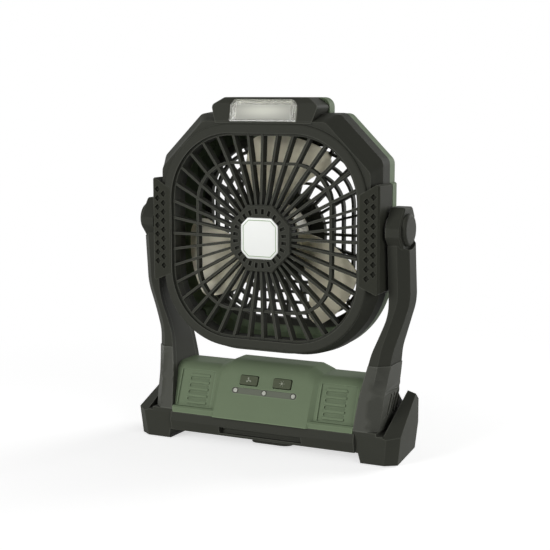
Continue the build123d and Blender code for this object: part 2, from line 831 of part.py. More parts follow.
with BuildPart() as arm_right:
    extrude(arm_side(), amount=arm_outer_top + 5)
    extrude(arm_front(), amount=50, both=True, mode=Mode.INTERSECT)
    chamfer(arm_right.edges().filter_by(on_outer_corner).filter_by(lambda e: (e @ 0.5).Y < -12),
            length=arm_chamfer_front)
    chamfer(arm_right.edges().filter_by(on_outer_corner).filter_by(lambda e: (e @ 0.5).Y > 3),
            length=arm_chamfer_rear)
    # knuckle around the pivot, with a seat for its cap
    with BuildSketch(Plane.YZ.offset(arm_outer_top + 1)):
        with Locations((pivot_y, pivot_z)):
            Circle(knuckle_clear)
    extrude(amount=-(arm_outer_top + 1 - arm_inner_top), mode=Mode.SUBTRACT)
    with BuildPart(mode=Mode.PRIVATE) as knuckle:
        extrude(knuckle_side(arm_inner_top), amount=knuckle_length)
        chamfer(knuckle.faces().sort_by(Axis.X)[-1].edges(), length=knuckle_chamfer)
    add(knuckle.part)
    with BuildSketch(Plane.YZ.offset(arm_inner_top)):
        with Locations((pivot_y, pivot_z)):
            Circle(bush_radius + seat_gap / 2)
    extrude(amount=knuckle_length, mode=Mode.SUBTRACT)
    with BuildSketch(Plane.YZ.offset(arm_inner_top + cap_seat_depth)):
        with Locations((pivot_y, pivot_z)):
            Circle(cap_seat_radius)
    extrude(amount=knuckle_length, mode=Mode.SUBTRACT)
    # channel for the wires, open to the inside
    with BuildPart(mode=Mode.PRIVATE) as channel:
        extrude(arm_channel_side(channel_inset), amount=arm_outer_top)
        extrude(arm_front(-2, -channel_depth_wall), amount=50, both=True, mode=Mode.INTERSECT)
    add(channel.part, mode=Mode.SUBTRACT)
    # slanting slots low on the outer side
    for row in range(rib_count):
        with BuildSketch(Plane.YZ.offset(arm_outer_foot + 3)):
            with Locations((-8 + row * rib_pitch, 40.5)):
                SlotOverall(17, rib_slot_width, rotation=rib_tilt)
        extrude(amount=-(3 + rib_depth), mode=Mode.SUBTRACT)
    # screw holes in the foot of the arm
    with BuildSketch(Plane.XY.offset(foot_top)):
        with Locations(*[place for place in arm_screw_places if place[0] > 0]):
            Circle(screw_radius)
    extrude(amount=10, mode=Mode.SUBTRACT)
arm_right.part.label = "arm_right"
export_step(arm_right.part, "parts/arm_right.step")

with BuildPart() as arm_left:
    mirror(arm_right.part, about=Plane.YZ)
arm_left.part.label = "arm_left"
export_step(arm_left.part, "parts/arm_left.step")

with BuildPart() as arm_cover_right:
    extrude(arm_channel_side(channel_inset + seat_gap), amount=arm_outer_top)
    extrude(arm_front(thickness=arm_cover_thickness), amount=50, both=True, mode=Mode.INTERSECT)
arm_cover_right.part.label = "arm_cover_right"
export_step(arm_cover_right.part, "parts/arm_cover_right.step")

with BuildPart() as arm_cover_left:
    mirror(arm_cover_right.part, about=Plane.YZ)
arm_cover_left.part.label = "arm_cover_left"
export_step(arm_cover_left.part, "parts/arm_cover_left.step")

with BuildPart() as arm_screws:
    with BuildSketch(Plane.XY.offset(arm_screw_seat - screw_head_height)):
        with Locations(*arm_screw_places):
            Circle(screw_head_radius)
    extrude(amount=screw_head_height)
    with BuildSketch(Plane.XY.offset(arm_screw_seat)):
        with Locations(*arm_screw_places):
            Circle(screw_radius)
    extrude(amount=16.5)
arm_screws.part.label = "arm_screws"
export_step(arm_screws.part, "parts/arm_screws.step")

# ---------- Tilt pivot ----------


def pivot_ring(x0, x1, outer, inner=0.0):
    """Ring about the tilt axis from x0 to x1"""
    with BuildPart() as ring:
        with BuildSketch(Plane.YZ.offset(x0)):
            with Locations((pivot_y, pivot_z)):
                Circle(outer)
                if inner:
                    Circle(inner, mode=Mode.SUBTRACT)
        extrude(amount=x1 - x0)
    return ring.part


bush_end = arm_inner_top + moving_gap + bush_length
pin_end = arm_inner_top + cap_seat_depth + moving_gap

with BuildPart() as tilt_bush_right:
    add(pivot_ring(arm_inner_top + moving_gap, bush_end, bush_radius, pin_radius + running_fit))
tilt_bush_right.part.label = "tilt_bush_right"
export_step(tilt_bush_right.part, "parts/tilt_bush_right.step")

with BuildPart() as tilt_bush_left:
    mirror(tilt_bush_right.part, about=Plane.YZ)
tilt_bush_left.part.label = "tilt_bush_left"
export_step(tilt_bush_left.part, "parts/tilt_bush_left.step")

with BuildPart() as pivot_cap_right:
    add(pivot_ring(arm_outer_top - cap_thickness, arm_outer_top, cap_radius))
    fillet(pivot_cap_right.edges().group_by(Axis.X)[-1], radius=cap_round)
    add(pivot_ring(arm_outer_top - cap_thickness - 1.4, arm_outer_top - cap_thickness,
                   cap_seat_radius - seat_gap, cap_seat_radius - 2))
pivot_cap_right.part.label = "pivot_cap_right"
export_step(pivot_cap_right.part, "parts/pivot_cap_right.step")

with BuildPart() as pivot_cap_left:
    mirror(pivot_cap_right.part, about=Plane.YZ)
pivot_cap_left.part.label = "pivot_cap_left"
export_step(pivot_cap_left.part, "parts/pivot_cap_left.step")

with BuildPart() as tilt_pin_right:
    add(pivot_ring(pin_pad_x - 2.4, pin_pad_x - seat_gap, pin_flange_radius))
    add(pivot_ring(pin_pad_x - seat_gap, pin_end, pin_radius))
    add(pivot_ring(pin_end - 12, pin_end, screw_radius), mode=Mode.SUBTRACT)
tilt_pin_right.part.label = "tilt_pin_right"
export_step(tilt_pin_right.part, "parts/tilt_pin_right.step")

with BuildPart() as tilt_pin_left:
    mirror(tilt_pin_right.part, about=Plane.YZ)
tilt_pin_left.part.label = "tilt_pin_left"
export_step(tilt_pin_left.part, "parts/tilt_pin_left.step")

with BuildPart() as friction_washers:
    add(pivot_ring(grip_half + 0.05, arm_inner_top - moving_gap, washer_radius, pin_radius + seat_gap))
    mirror(about=Plane.YZ)
friction_washers.part.label = "friction_washers"
export_step(friction_washers.part, "parts/friction_washers.step")

with BuildPart() as pin_retainers:
    add(pivot_ring(pin_end, pin_end + retainer_thickness, retainer_radius, screw_radius))
    mirror(about=Plane.YZ)
pin_retainers.part.label = "pin_retainers"
export_step(pin_retainers.part, "parts/pin_retainers.step")

with BuildPart() as pin_screws:
    add(pivot_ring(pin_end - 10, pin_end + retainer_thickness, screw_radius))
    add(pivot_ring(pin_end + retainer_thickness, pin_end + retainer_thickness + 1.6, 3.2))
    mirror(about=Plane.YZ)
pin_screws.part.label = "pin_screws"
export_step(pin_screws.part, "parts/pin_screws.step")

# ================= Fan head =================


def head_plane(y):
    """Plane facing the front at depth y, centred on the fan axis"""
    return Plane(origin=(0, y, head_z), x_dir=(1, 0, 0), z_dir=(0, -1, 0))


def head_outline(y, half, top, bottom, cut, round_radius, inset=0.0):
    """Outline of the head: cut corners at the top, round corners at the bottom"""
    half, top, bottom = half - inset, top - inset, bottom - inset
    cut = cut - 0.6 * inset
    round_radius = round_radius - inset
    with BuildSketch(head_plane(y)) as outline:
        with BuildLine():
            Polyline((0, top), (half - cut, top), (half, top - cut), (half, round_radius - bottom))
            RadiusArc((half, round_radius - bottom), (half - round_radius, -bottom), round_radius)
            Line((half - round_radius, -bottom), (0, -bottom))
            mirror(about=Plane.YZ)
        make_face()
        upper = outline.vertices().filter_by(lambda v: abs(v.X) > 1).group_by(Axis.Y)
        fillet(upper[-1] + upper[-2], radius=soft_corner)
    return outline.sketch


def face_outline(inset=0.0):
    return head_outline(face_y, face_half, face_top, face_bottom, face_cut, face_round, inset)


def crease_outline(inset=0.0):
    return head_outline(crease_y, bezel_half, bezel_top, bezel_bottom, crease_cut + 2, bezel_round,
                        crease_inset + inset)


def ridge_outline(inset=0.0):
    return head_outline(ridge_y, bezel_half, bezel_top, bezel_bottom, bezel_cut, bezel_round,
                        ridge_inset + inset)


def parting_outline(inset=0.0):
    return head_outline(parting_y, bezel_half, bezel_top, bezel_bottom, bezel_cut, bezel_round, inset)


def shell_mid_outline(inset=0.0):
    return head_outline(shell_mid_y, bezel_half, bezel_top, bezel_bottom, bezel_cut, bezel_round,
                        0.4 + inset)


def shell_back_outline(inset=0.0):
    return head_outline(back_y, rear_half, rear_half + 1, rear_half - 1.5, 29, 57, inset)


def rounded_square(y, half, corner):
    """Square with round corners, centred on the fan axis at depth y"""
    with BuildSketch(head_plane(y)) as square:
        RectangleRounded(2 * half, 2 * half, corner)
    return square.sketch


def disc(y, radius):
    """Circle centred on the fan axis at depth y"""
    with BuildSketch(head_plane(y)) as circle:
        Circle(radius)
    return circle.sketch


def around(part, count, start=0.0):
    """Copies of a part, evenly turned about the fan axis"""
    return [part.rotate(head_axis, start + index * 360 / count) for index in range(count)]


# Outer forms, without their hollows: the lamp and the grips are fitted to them.
with BuildPart() as bezel_form:
    loft([face_outline(), crease_outline()], ruled=True)
    loft([crease_outline(), ridge_outline()], ruled=True)
    loft([ridge_outline(), parting_outline()], ruled=True)

with BuildPart() as shell_form:
    loft([parting_outline(0.4), shell_mid_outline()], ruled=True)
    loft([shell_mid_outline(), shell_back_outline()], ruled=True)


def lamp_front(y, inset=0.0):
    """Front view of the lamp housing"""
    with BuildSketch(head_plane(y)) as view:
        with BuildLine():
            Polyline(
                (0, lamp_bottom + inset),
                (lamp_bottom_half - inset, lamp_bottom + inset),
                (lamp_shoulder_half - inset, lamp_shoulder),
                (lamp_top_half - inset * 0.4, lamp_top - inset),
                (0, lamp_top - inset),
            )
            mirror(about=Plane.YZ)
        make_face()
        fillet(view.vertices().filter_by(lambda v: v.Y > lamp_shoulder - 1), radius=3 - min(inset, 2))
    return view.sketch


def lamp_side():
    """Side view of the lamp housing's black front part"""
    front = pivot_y - lamp_front_step
    with BuildSketch(Plane.YZ) as view:
        with BuildLine():
            Polyline(
                (front, head_z + lamp_bottom - 1),
                (front, head_z + lamp_bottom),
                (front + lamp_front_lean, head_z + lamp_top - lamp_brow),
                (front + lamp_front_lean + 3.6, head_z + lamp_top),
                (parting_y, head_z + lamp_top),
                (parting_y, head_z + lamp_bottom - 1),
                close=True,
            )
        make_face()
    return view.sketch


lamp_lean = degrees(atan2(lamp_front_lean, lamp_top - lamp_brow - lamp_bottom))


def lamp_plane(inward=0.0):
    """Plane on the leaning front face of the lamp, at the foot of the face"""
    lean = radians(lamp_lean)
    normal = Vector(0, -cos(lean), sin(lean))
    foot = Vector(0, pivot_y - lamp_front_step, head_z + lamp_bottom)
    return Plane(origin=foot - normal * inward, x_dir=(1, 0, 0), z_dir=normal)


def lens_outline(inward, inset=0.0):
    """Outline of the lamp's lens with two cut corners at the top"""
    low = lens_bottom - lamp_bottom + inset
    high = lens_top - lamp_bottom - inset
    with BuildSketch(lamp_plane(inward)) as outline:
        with BuildLine():
            Polyline(
                (0, low),
                (lens_half - inset, low),
                (lens_half - inset, high - lens_cut),
                (lens_top_half - inset, high),
                (0, high),
            )
            mirror(about=Plane.YZ)
        make_face()
        fillet(outline.vertices().filter_by(lambda v: abs(v.X) > 1), radius=1.5)
    return outline.sketch


def grip_outline(y, inset=0.0):
    """Front view of a side grip, on the right"""
    inner = opening_half + 1 - inset
    outer = grip_half + inset
    with BuildSketch(head_plane(y)) as outline:
        with BuildLine():
            Polyline(
                (inner, -grip_low - inset),
                (inner, grip_high + inset),
                (outer, grip_high_outer + inset),
                (outer, -grip_low_outer - inset),
                close=True,
            )
        make_face()
        chamfer(outline.vertices().group_by(Axis.X)[-1], length=grip_corner)
    return outline.sketch



with BuildPart() as front_bezel:
    add(bezel_form.part)
    # raised lip round the opening
    extrude(rounded_square(face_y, opening_half + lip_width, opening_round + lip_width), amount=lip_proud)
    fillet(front_bezel.faces().sort_by(Axis.Y)[0].edges(), radius=lip_proud * 0.8)
    # hollow behind the face
    with BuildPart(mode=Mode.PRIVATE) as hollow:
        loft([face_outline(wall * 1.5), crease_outline(wall * 1.2)], ruled=True)
        loft([crease_outline(wall * 1.2), ridge_outline(wall)], ruled=True)
        loft([ridge_outline(wall), parting_outline(wall)], ruled=True)
        extrude(face_outline(0), amount=-wall, mode=Mode.SUBTRACT)
        # the air duct stays
        extrude(rounded_square(face_y, opening_half + wall * 0.8, opening_round + wall * 0.8),
                amount=-duct_length, mode=Mode.SUBTRACT)
    add(hollow.part, mode=Mode.SUBTRACT)
    # opening, through the lip and the duct
    extrude(rounded_square(face_y - lip_proud - 1, opening_half, opening_round),
            amount=-(face_step + parting_step + lip_proud + 3), mode=Mode.SUBTRACT)
    # screw towers
    with BuildPart(mode=Mode.PRIVATE) as bezel_towers:
        with BuildSketch(head_plane(face_y + 1)):
            with Locations(*head_screw_places):
                Circle(screw_tower_radius)
        extrude(amount=-(parting_y - face_y - 1))
        add(bezel_form.part, mode=Mode.INTERSECT)
    add(bezel_towers.part)
    with BuildSketch(head_plane(parting_y)):
        with Locations(*head_screw_places):
            Circle(screw_radius)
    extrude(amount=11, mode=Mode.SUBTRACT)
    # room for the front panels of the grips
    with BuildPart(mode=Mode.PRIVATE) as grip_room:
        extrude(grip_outline(face_y, seat_gap), amount=lip_proud + 1)
        mirror(about=Plane.YZ)
    add(grip_room.part, mode=Mode.SUBTRACT)
    # pads and holes for the tilt pins
    pad = pivot_ring(pin_pad_x, bezel_half - 1.2, pin_flange_radius)
    add([pad, mirror(pad, about=Plane.YZ, mode=Mode.PRIVATE)])
    for side in (-1, 1):
        with BuildSketch(Plane.YZ.offset(side * bezel_half)):
            with Locations((pivot_y, pivot_z)):
                Circle(pin_radius + seat_gap)
        extrude(amount=5, both=True, mode=Mode.SUBTRACT)
front_bezel.part.label = "front_bezel"
export_step(front_bezel.part, "parts/front_bezel.step")

# ---------- Grips ----------
with BuildPart() as grip_right:
    extrude(grip_outline(face_y - grip_proud - 0.4), amount=-(grip_proud + 0.4 + 22))
    chamfer(grip_right.faces().sort_by(Axis.Y)[0].edges().sort_by(Axis.X)[-1], length=1.5)
    add(bezel_form.part, mode=Mode.SUBTRACT)
    # two staggered columns of dimples
    for column, x in enumerate(dimple_columns):
        rows = [(x, dimple_middle + (row - (dimple_rows - 1) / 2 + column / 2) * dimple_pitch)
                for row in range(dimple_rows)]
        with BuildSketch(head_plane(face_y - grip_proud - 0.4)):
            with Locations(*rows):
                Rectangle(dimple_size, dimple_size, rotation=45)
        extrude(amount=-dimple_depth, taper=dimple_taper, mode=Mode.SUBTRACT)
    with BuildSketch(Plane.YZ.offset(bezel_half)):
        with Locations((pivot_y, pivot_z)):
            Circle(pin_radius + seat_gap)
    extrude(amount=5, both=True, mode=Mode.SUBTRACT)
grip_right.part.label = "grip_right"
export_step(grip_right.part, "parts/grip_right.step")

with BuildPart() as grip_left:
    mirror(grip_right.part, about=Plane.YZ)
grip_left.part.label = "grip_left"
export_step(grip_left.part, "parts/grip_left.step")

# ---------- Front grille ----------
hub_front = pivot_y - spoke_front_hub

with BuildPart() as spoke:
    with BuildSketch(Plane.YZ):
        with BuildLine():
            Polyline(
                (hub_front, head_z + hub_apothem - 2),
                (pivot_y - spoke_front_rim, head_z + opening_half + 20),
                (pivot_y - spoke_front_rim + spoke_depth, head_z + opening_half + 20),
                (hub_front + spoke_depth, head_z + hub_apothem - 2),
                close=True,
            )
        make_face()
    extrude(amount=spoke_thickness / 2, both=True)

rim_front = pivot_y - spoke_front_rim - 0.6

with BuildPart() as front_grille:
    add(around(spoke.part, spoke_count))
    extrude(rounded_square(rim_front - 20, opening_half - 0.2, opening_round - 0.2),
            amount=-60, mode=Mode.INTERSECT)
    # frame that sits in the duct
    with BuildPart(mode=Mode.PRIVATE) as rim:
        extrude(rounded_square(rim_front, opening_half - seat_gap, opening_round - seat_gap),
                amount=-(spoke_depth + 1.2))
        extrude(rounded_square(rim_front, opening_half - seat_gap - grille_frame,
                               opening_round - seat_gap - grille_frame),
                amount=-(spoke_depth + 1.2), mode=Mode.SUBTRACT)
    add(rim.part)
    with BuildPart(mode=Mode.PRIVATE) as middle_ring:
        ring_front = pivot_y - spoke_front_rim - 1.2
        half = middle_ring_half + middle_ring_width / 2
        extrude(rounded_square(ring_front, half, half * ring_round_share), amount=-5.2)
        half = middle_ring_half - middle_ring_width / 2
        extrude(rounded_square(ring_front, half, half * ring_round_share), amount=-5.2, mode=Mode.SUBTRACT)
    add(middle_ring.part)
    # seat of the hub, hollow at the back
    extrude(disc(hub_front - 0.3, hub_apothem + 0.3), amount=-hub_seat_depth)
    extrude(disc(hub_front - 0.3 + 2.2, hub_apothem - 2.2), amount=-hub_seat_depth, mode=Mode.SUBTRACT)
front_grille.part.label = "front_grille"
export_step(front_grille.part, "parts/front_grille.step")


def badge_outline(y, inset=0.0):
    """Square plate with cut corners in the middle of the hub"""
    half = badge_half - inset
    with BuildSketch(head_plane(y)) as outline:
        Rectangle(2 * half, 2 * half)
        chamfer(outline.vertices(), length=badge_cut - 0.5 * inset)
    return outline.sketch


hub_seat_y = hub_front - 0.3

with BuildPart() as hub_ring:
    with BuildSketch(head_plane(hub_seat_y)):
        RegularPolygon(hub_apothem, 8, major_radius=False, rotation=22.5)
    extrude(amount=hub_proud)
    chamfer(hub_ring.faces().sort_by(Axis.Y)[0].edges(), length=0.7)
    extrude(badge_outline(hub_seat_y - hub_proud + 0.9, -seat_gap), amount=hub_proud, mode=Mode.SUBTRACT)
    # air slots round the badge
    with BuildSketch(head_plane(hub_seat_y)):
        with PolarLocations((badge_half + hub_apothem) / 2 + 0.2, vent_count, start_angle=7.5):
            Rectangle(vent_length, vent_width)
    extrude(amount=hub_proud + 1, mode=Mode.SUBTRACT)
hub_ring.part.label = "hub_ring"
export_step(hub_ring.part, "parts/hub_ring.step")

with BuildPart() as hub_badge:
    extrude(badge_outline(hub_seat_y - hub_proud + 0.9), amount=badge_thickness)
    chamfer(hub_badge.faces().sort_by(Axis.Y)[0].edges(), length=0.3)
hub_badge.part.label = "hub_badge"
export_step(hub_badge.part, "parts/hub_badge.step")

# ---------- Rear shell and grille ----------
wall_front_y = back_y - wall

with BuildPart() as lamp_tail:
    # green end of the lamp housing behind the joint
    with BuildSketch(head_plane(parting_y)) as tail_view:
        with Locations((0, (lamp_bottom + lamp_top) / 2)):
            Rectangle(2 * lamp_shoulder_half, lamp_top - lamp_bottom)
        fillet(tail_view.vertices().group_by(Axis.Y)[-1], radius=7)
    extrude(amount=-(lamp_depth_back - parting_step))
    rear_edges = lamp_tail.faces().sort_by(Axis.Y)[-1].edges()
    fillet(rear_edges.filter_by(lambda e: (e @ 0.5).Z > head_z + lamp_bottom + 1), radius=4)

with BuildPart() as grip_tail:
    # green side panel behind a grip, on the right
    extrude(grip_outline(parting_y + seat_gap), amount=-(lamp_depth_back - parting_step - 2))
    fillet(grip_tail.faces().sort_by(Axis.Y)[-1].edges().sort_by(Axis.X)[-1], radius=3)

with BuildPart() as rear_shell:
    add(shell_form.part)
    add(lamp_tail.part)
    add(grip_tail.part)
    mirror(grip_tail.part, about=Plane.YZ)
    with BuildPart(mode=Mode.PRIVATE) as shell_hollow:
        loft([parting_outline(wall + 0.4), shell_mid_outline(wall)], ruled=True)
        loft([shell_mid_outline(wall), shell_back_outline(wall)], ruled=True)
        extrude(rounded_square(wall_front_y, 200, 10), amount=-40, mode=Mode.SUBTRACT)
    add(shell_hollow.part, mode=Mode.SUBTRACT)
    # hollow of the lamp's end
    with BuildPart(mode=Mode.PRIVATE) as tail_hollow:
        with BuildSketch(head_plane(parting_y)):
            with Locations((0, (lamp_bottom + lamp_top) / 2 - wall)):
                Rectangle(2 * (lamp_shoulder_half - wall) - 3, lamp_top - lamp_bottom)
        extrude(amount=-(lamp_depth_back - parting_step - wall - 1))
        add(shell_form.part, mode=Mode.SUBTRACT)
    add(tail_hollow.part, mode=Mode.SUBTRACT)
    # opening for the rear grille
    extrude(rounded_square(wall_front_y - 1, rear_opening_half, rear_opening_round),
            amount=-(wall + 3), mode=Mode.SUBTRACT)
    # screw towers and wells
    with BuildPart(mode=Mode.PRIVATE) as towers:
        with BuildSketch(head_plane(parting_y)):
            with Locations(*head_screw_places):
                Circle(screw_head_radius + 1.8)
        extrude(amount=-(back_y - parting_y))
        add(shell_form.part, mode=Mode.INTERSECT)
    add(towers.part)
    with BuildSketch(head_plane(screw_well_y)):
        with Locations(*head_screw_places):
            Circle(screw_head_radius + 0.2)
    extrude(amount=-40, mode=Mode.SUBTRACT)
    with BuildSketch(head_plane(parting_y)):
        with Locations(*head_screw_places):
            Circle(screw_radius + seat_gap)
    extrude(amount=-20, mode=Mode.SUBTRACT)
rear_shell.part.label = "rear_shell"
export_step(rear_shell.part, "parts/rear_shell.step")

with BuildPart() as head_screws:
    with BuildSketch(head_plane(screw_well_y)):
        with Locations(*head_screw_places):
            Circle(screw_head_radius)
    extrude(amount=-screw_head_height)
    with BuildSketch(head_plane(screw_well_y)):
        with Locations(*head_screw_places):
            Circle(screw_radius)
    extrude(amount=screw_well_y - parting_y + 10)
head_screws.part.label = "head_screws"
export_step(head_screws.part, "parts/head_screws.step")

grille_y = wall_front_y - seat_gap - wall  # front of the rear grille
rear_ring_pitch = (rear_opening_half - rear_ring_edge - rear_ring_first) / (rear_ring_count - 1)
motor_screw_places = [(motor_screw_circle * cos(radians(a)), motor_screw_circle * sin(radians(a)))
                      for a in (90, 210, 330)]

with BuildPart() as rear_rib:
    with BuildSketch(Plane.YZ):
        with Locations((grille_y + rear_grille_depth / 2, head_z + 52)):
            Rectangle(rear_grille_depth, 56)
    extrude(amount=rear_ring_width / 2, both=True)

with BuildPart() as rear_grille:
    add(around(rear_rib.part, rear_rib_count))
    extrude(rounded_square(grille_y - 5, rear_opening_half - 1, rear_opening_round - 1),
            amount=-60, mode=Mode.INTERSECT)
    for index in range(rear_ring_count):
        half = rear_ring_first + index * rear_ring_pitch
        with BuildPart(mode=Mode.PRIVATE) as ring:
            outer, inner = half + rear_ring_width / 2, half - rear_ring_width / 2
            extrude(rounded_square(grille_y, outer, outer * 0.6), amount=-rear_grille_depth)
            extrude(rounded_square(grille_y, inner, inner * 0.6), amount=-rear_grille_depth,
                    mode=Mode.SUBTRACT)
        add(ring.part)
    # frame held against the inside of the shell
    with BuildPart(mode=Mode.PRIVATE) as frame:
        extrude(rounded_square(grille_y, rear_opening_half + rear_flange, rear_opening_round + rear_flange),
                amount=-wall)
        loft([shell_mid_outline(wall + seat_gap), shell_back_outline(wall + seat_gap)], ruled=True,
             mode=Mode.INTERSECT)
        extrude(rounded_square(grille_y, rear_opening_half - seat_gap, rear_opening_round - seat_gap),
                amount=-rear_grille_depth)
        extrude(rounded_square(grille_y, rear_opening_half - wall, rear_opening_round - wall),
                amount=-rear_grille_depth, mode=Mode.SUBTRACT)
    add(frame.part)
    extrude(disc(grille_y, motor_plate_radius), amount=-rear_grille_depth)
    with BuildSketch(head_plane(grille_y)):
        with Locations(*motor_screw_places):
            Circle(screw_radius + seat_gap)
    extrude(amount=-10, mode=Mode.SUBTRACT)
    with BuildSketch(head_plane(grille_y + rear_grille_depth)):
        with Locations(*motor_screw_places):
            Circle(screw_head_radius + 0.2)
        Circle(9)
    extrude(amount=2.0, mode=Mode.SUBTRACT)
rear_grille.part.label = "rear_grille"
export_step(rear_grille.part, "parts/rear_grille.step")

# ---------- Motor ----------
base_y = grille_y - seat_gap  # back of the motor's base plate
tube_front_y = pivot_y + 1.5
stator_front_y = pivot_y + 2.5
motor_board_y = stator_front_y + stator_length + 3.4
tube_bore = bearing_radius + seat_gap / 2

with BuildPart() as motor_base:
    extrude(disc(base_y, 20), amount=motor_plate_thickness)
    extrude(disc(base_y, tube_radius), amount=base_y - tube_front_y)
    with BuildSketch(head_plane(base_y)):
        with PolarLocations(12, 3, start_angle=30):
            Circle(1.8)
    extrude(amount=base_y - motor_board_y - 1.2)
    extrude(disc(base_y + 1, tube_bore), amount=40, mode=Mode.SUBTRACT)
    with BuildSketch(head_plane(base_y)):
        with Locations(*motor_screw_places):
            Circle(screw_radius)
    extrude(amount=10, mode=Mode.SUBTRACT)
motor_base.part.label = "motor_base"
export_step(motor_base.part, "parts/motor_base.step")

with BuildPart() as motor_screws:
    with BuildSketch(head_plane(grille_y + rear_grille_depth - 2.0)):
        with Locations(*motor_screw_places):
            Circle(screw_head_radius)
    extrude(amount=-screw_head_height)
    with BuildSketch(head_plane(grille_y + rear_grille_depth - 2.0)):
        with Locations(*motor_screw_places):
            Circle(screw_radius)
    extrude(amount=rear_grille_depth - 2.0 + 2.2)
motor_screws.part.label = "motor_screws"
export_step(motor_screws.part, "parts/motor_screws.step")

with BuildPart() as motor_board:
    extrude(disc(motor_board_y + 1.2, 17.4), amount=1.2)
    extrude(disc(motor_board_y + 2, tube_radius + seat_gap), amount=4, mode=Mode.SUBTRACT)
motor_board.part.label = "motor_board"
export_step(motor_board.part, "parts/motor_board.step")

rear_bearing_y = base_y - 2.0  # back face of the rear bearing

with BuildPart() as motor_bearings:
    for back in (tube_front_y + bearing_length + 0.3, rear_bearing_y):
        extrude(disc(back, bearing_radius), amount=bearing_length)
    extrude(disc(base_y + 1, shaft_radius + running_fit), amount=40, mode=Mode.SUBTRACT)
motor_bearings.part.label = "motor_bearings"
export_step(motor_bearings.part, "parts/motor_bearings.step")

with BuildPart() as stator_core:
    back = stator_front_y + stator_length
    extrude(disc(back, tube_radius + 2.6), amount=stator_length)
    with BuildPart(mode=Mode.PRIVATE) as tooth:
        with BuildSketch(head_plane(back)):
            with Locations(((tube_radius + stator_radius) / 2, 0)):
                Rectangle(stator_radius - tube_radius - 1, tooth_width)
            with BuildLine():
                ThreePointArc(
                    (stator_radius * cos(0.28), -stator_radius * sin(0.28)),
                    (stator_radius, 0),
                    (stator_radius * cos(0.28), stator_radius * sin(0.28)),
                )
                Polyline(
                    (stator_radius * cos(0.28), stator_radius * sin(0.28)),
                    (stator_radius - 1.6, tooth_width / 2),
                    (stator_radius - 1.6, -tooth_width / 2),
                    (stator_radius * cos(0.28), -stator_radius * sin(0.28)),
                )
            make_face()
        extrude(amount=stator_length)
    add(around(tooth.part, pole_count))
    extrude(disc(back + 1, tube_radius + seat_gap / 2), amount=stator_length + 2, mode=Mode.SUBTRACT)
stator_core.part.label = "stator_core"
export_step(stator_core.part, "parts/stator_core.step")

with BuildPart() as stator_coils:
    with BuildPart(mode=Mode.PRIVATE) as coil:
        coil_inner = tube_radius + 2.6 + seat_gap
        coil_outer = stator_radius - 1.6 - 0.5
        with BuildSketch(head_plane(stator_front_y + stator_length + 1)):
            with Locations(((coil_inner + coil_outer) / 2 + 0.3, 0)):
                Rectangle(coil_outer - coil_inner - 0.6, 4.8)
        extrude(amount=stator_length + 2)
        with BuildSketch(head_plane(stator_front_y + stator_length + seat_gap)):
            with Locations(((coil_inner + coil_outer) / 2, 0)):
                Rectangle(20, tooth_width + 2 * seat_gap)
        extrude(amount=stator_length + 2 * seat_gap, mode=Mode.SUBTRACT)
    add(around(coil.part, pole_count))
stator_coils.part.label = "stator_coils"
export_step(stator_coils.part, "parts/stator_coils.step")

# ---------- Rotor ----------
cup_front_y = pivot_y - hub_front_step
can_front_y = cup_front_y + 2.0 + seat_gap
can_back_y = cup_front_y + hub_length - 1

with BuildPart() as hub_cap:
    extrude(disc(cup_front_y + hub_length, hub_radius), amount=hub_length)
    fillet(hub_cap.faces().sort_by(Axis.Y)[0].edges(), radius=3)
    extrude(disc(cup_front_y + hub_length, can_radius + seat_gap), amount=hub_length - 2, mode=Mode.SUBTRACT)
    extrude(disc(cup_front_y + 3, shaft_radius), amount=1.8, mode=Mode.SUBTRACT)
hub_cap.part.label = "hub_cap"
export_step(hub_cap.part, "parts/hub_cap.step")

with BuildPart() as rotor_can:
    extrude(disc(can_back_y, can_radius), amount=can_back_y - can_front_y)
    extrude(disc(can_back_y, can_radius - can_wall), amount=can_back_y - can_front_y - can_wall,
            mode=Mode.SUBTRACT)
    extrude(disc(can_front_y + 4.5, 4.4), amount=4.0)
    extrude(disc(can_back_y, shaft_radius), amount=40, mode=Mode.SUBTRACT)
rotor_can.part.label = "rotor_can"
export_step(rotor_can.part, "parts/rotor_can.step")

with BuildPart() as rotor_magnet:
    magnet_radius = can_radius - can_wall - seat_gap / 2
    extrude(disc(can_back_y - 1, magnet_radius), amount=can_back_y - can_front_y - can_wall - 3)
    extrude(disc(can_back_y, magnet_radius - magnet_thickness), amount=40, mode=Mode.SUBTRACT)
rotor_magnet.part.label = "rotor_magnet"
export_step(rotor_magnet.part, "parts/rotor_magnet.step")

with BuildPart() as motor_shaft:
    extrude(disc(base_y - 0.4, shaft_radius), amount=base_y - 0.4 - cup_front_y - 1.3)
motor_shaft.part.label = "motor_shaft"
export_step(motor_shaft.part, "parts/motor_shaft.step")

with BuildPart() as shaft_clip:
    extrude(disc(rear_bearing_y + moving_gap + 0.6, 2.7), amount=0.6)
    extrude(disc(rear_bearing_y + 2, shaft_radius), amount=5, mode=Mode.SUBTRACT)
shaft_clip.part.label = "shaft_clip"
export_step(shaft_clip.part, "parts/shaft_clip.step")

# ---------- Blades ----------
blade_middle_y = pivot_y + blade_step
ring_radius = hub_radius + seat_gap + 1.3


def blade_sweep_at(radius):
    return blade_sweep * (blade_radius - radius) / (blade_radius - hub_radius)


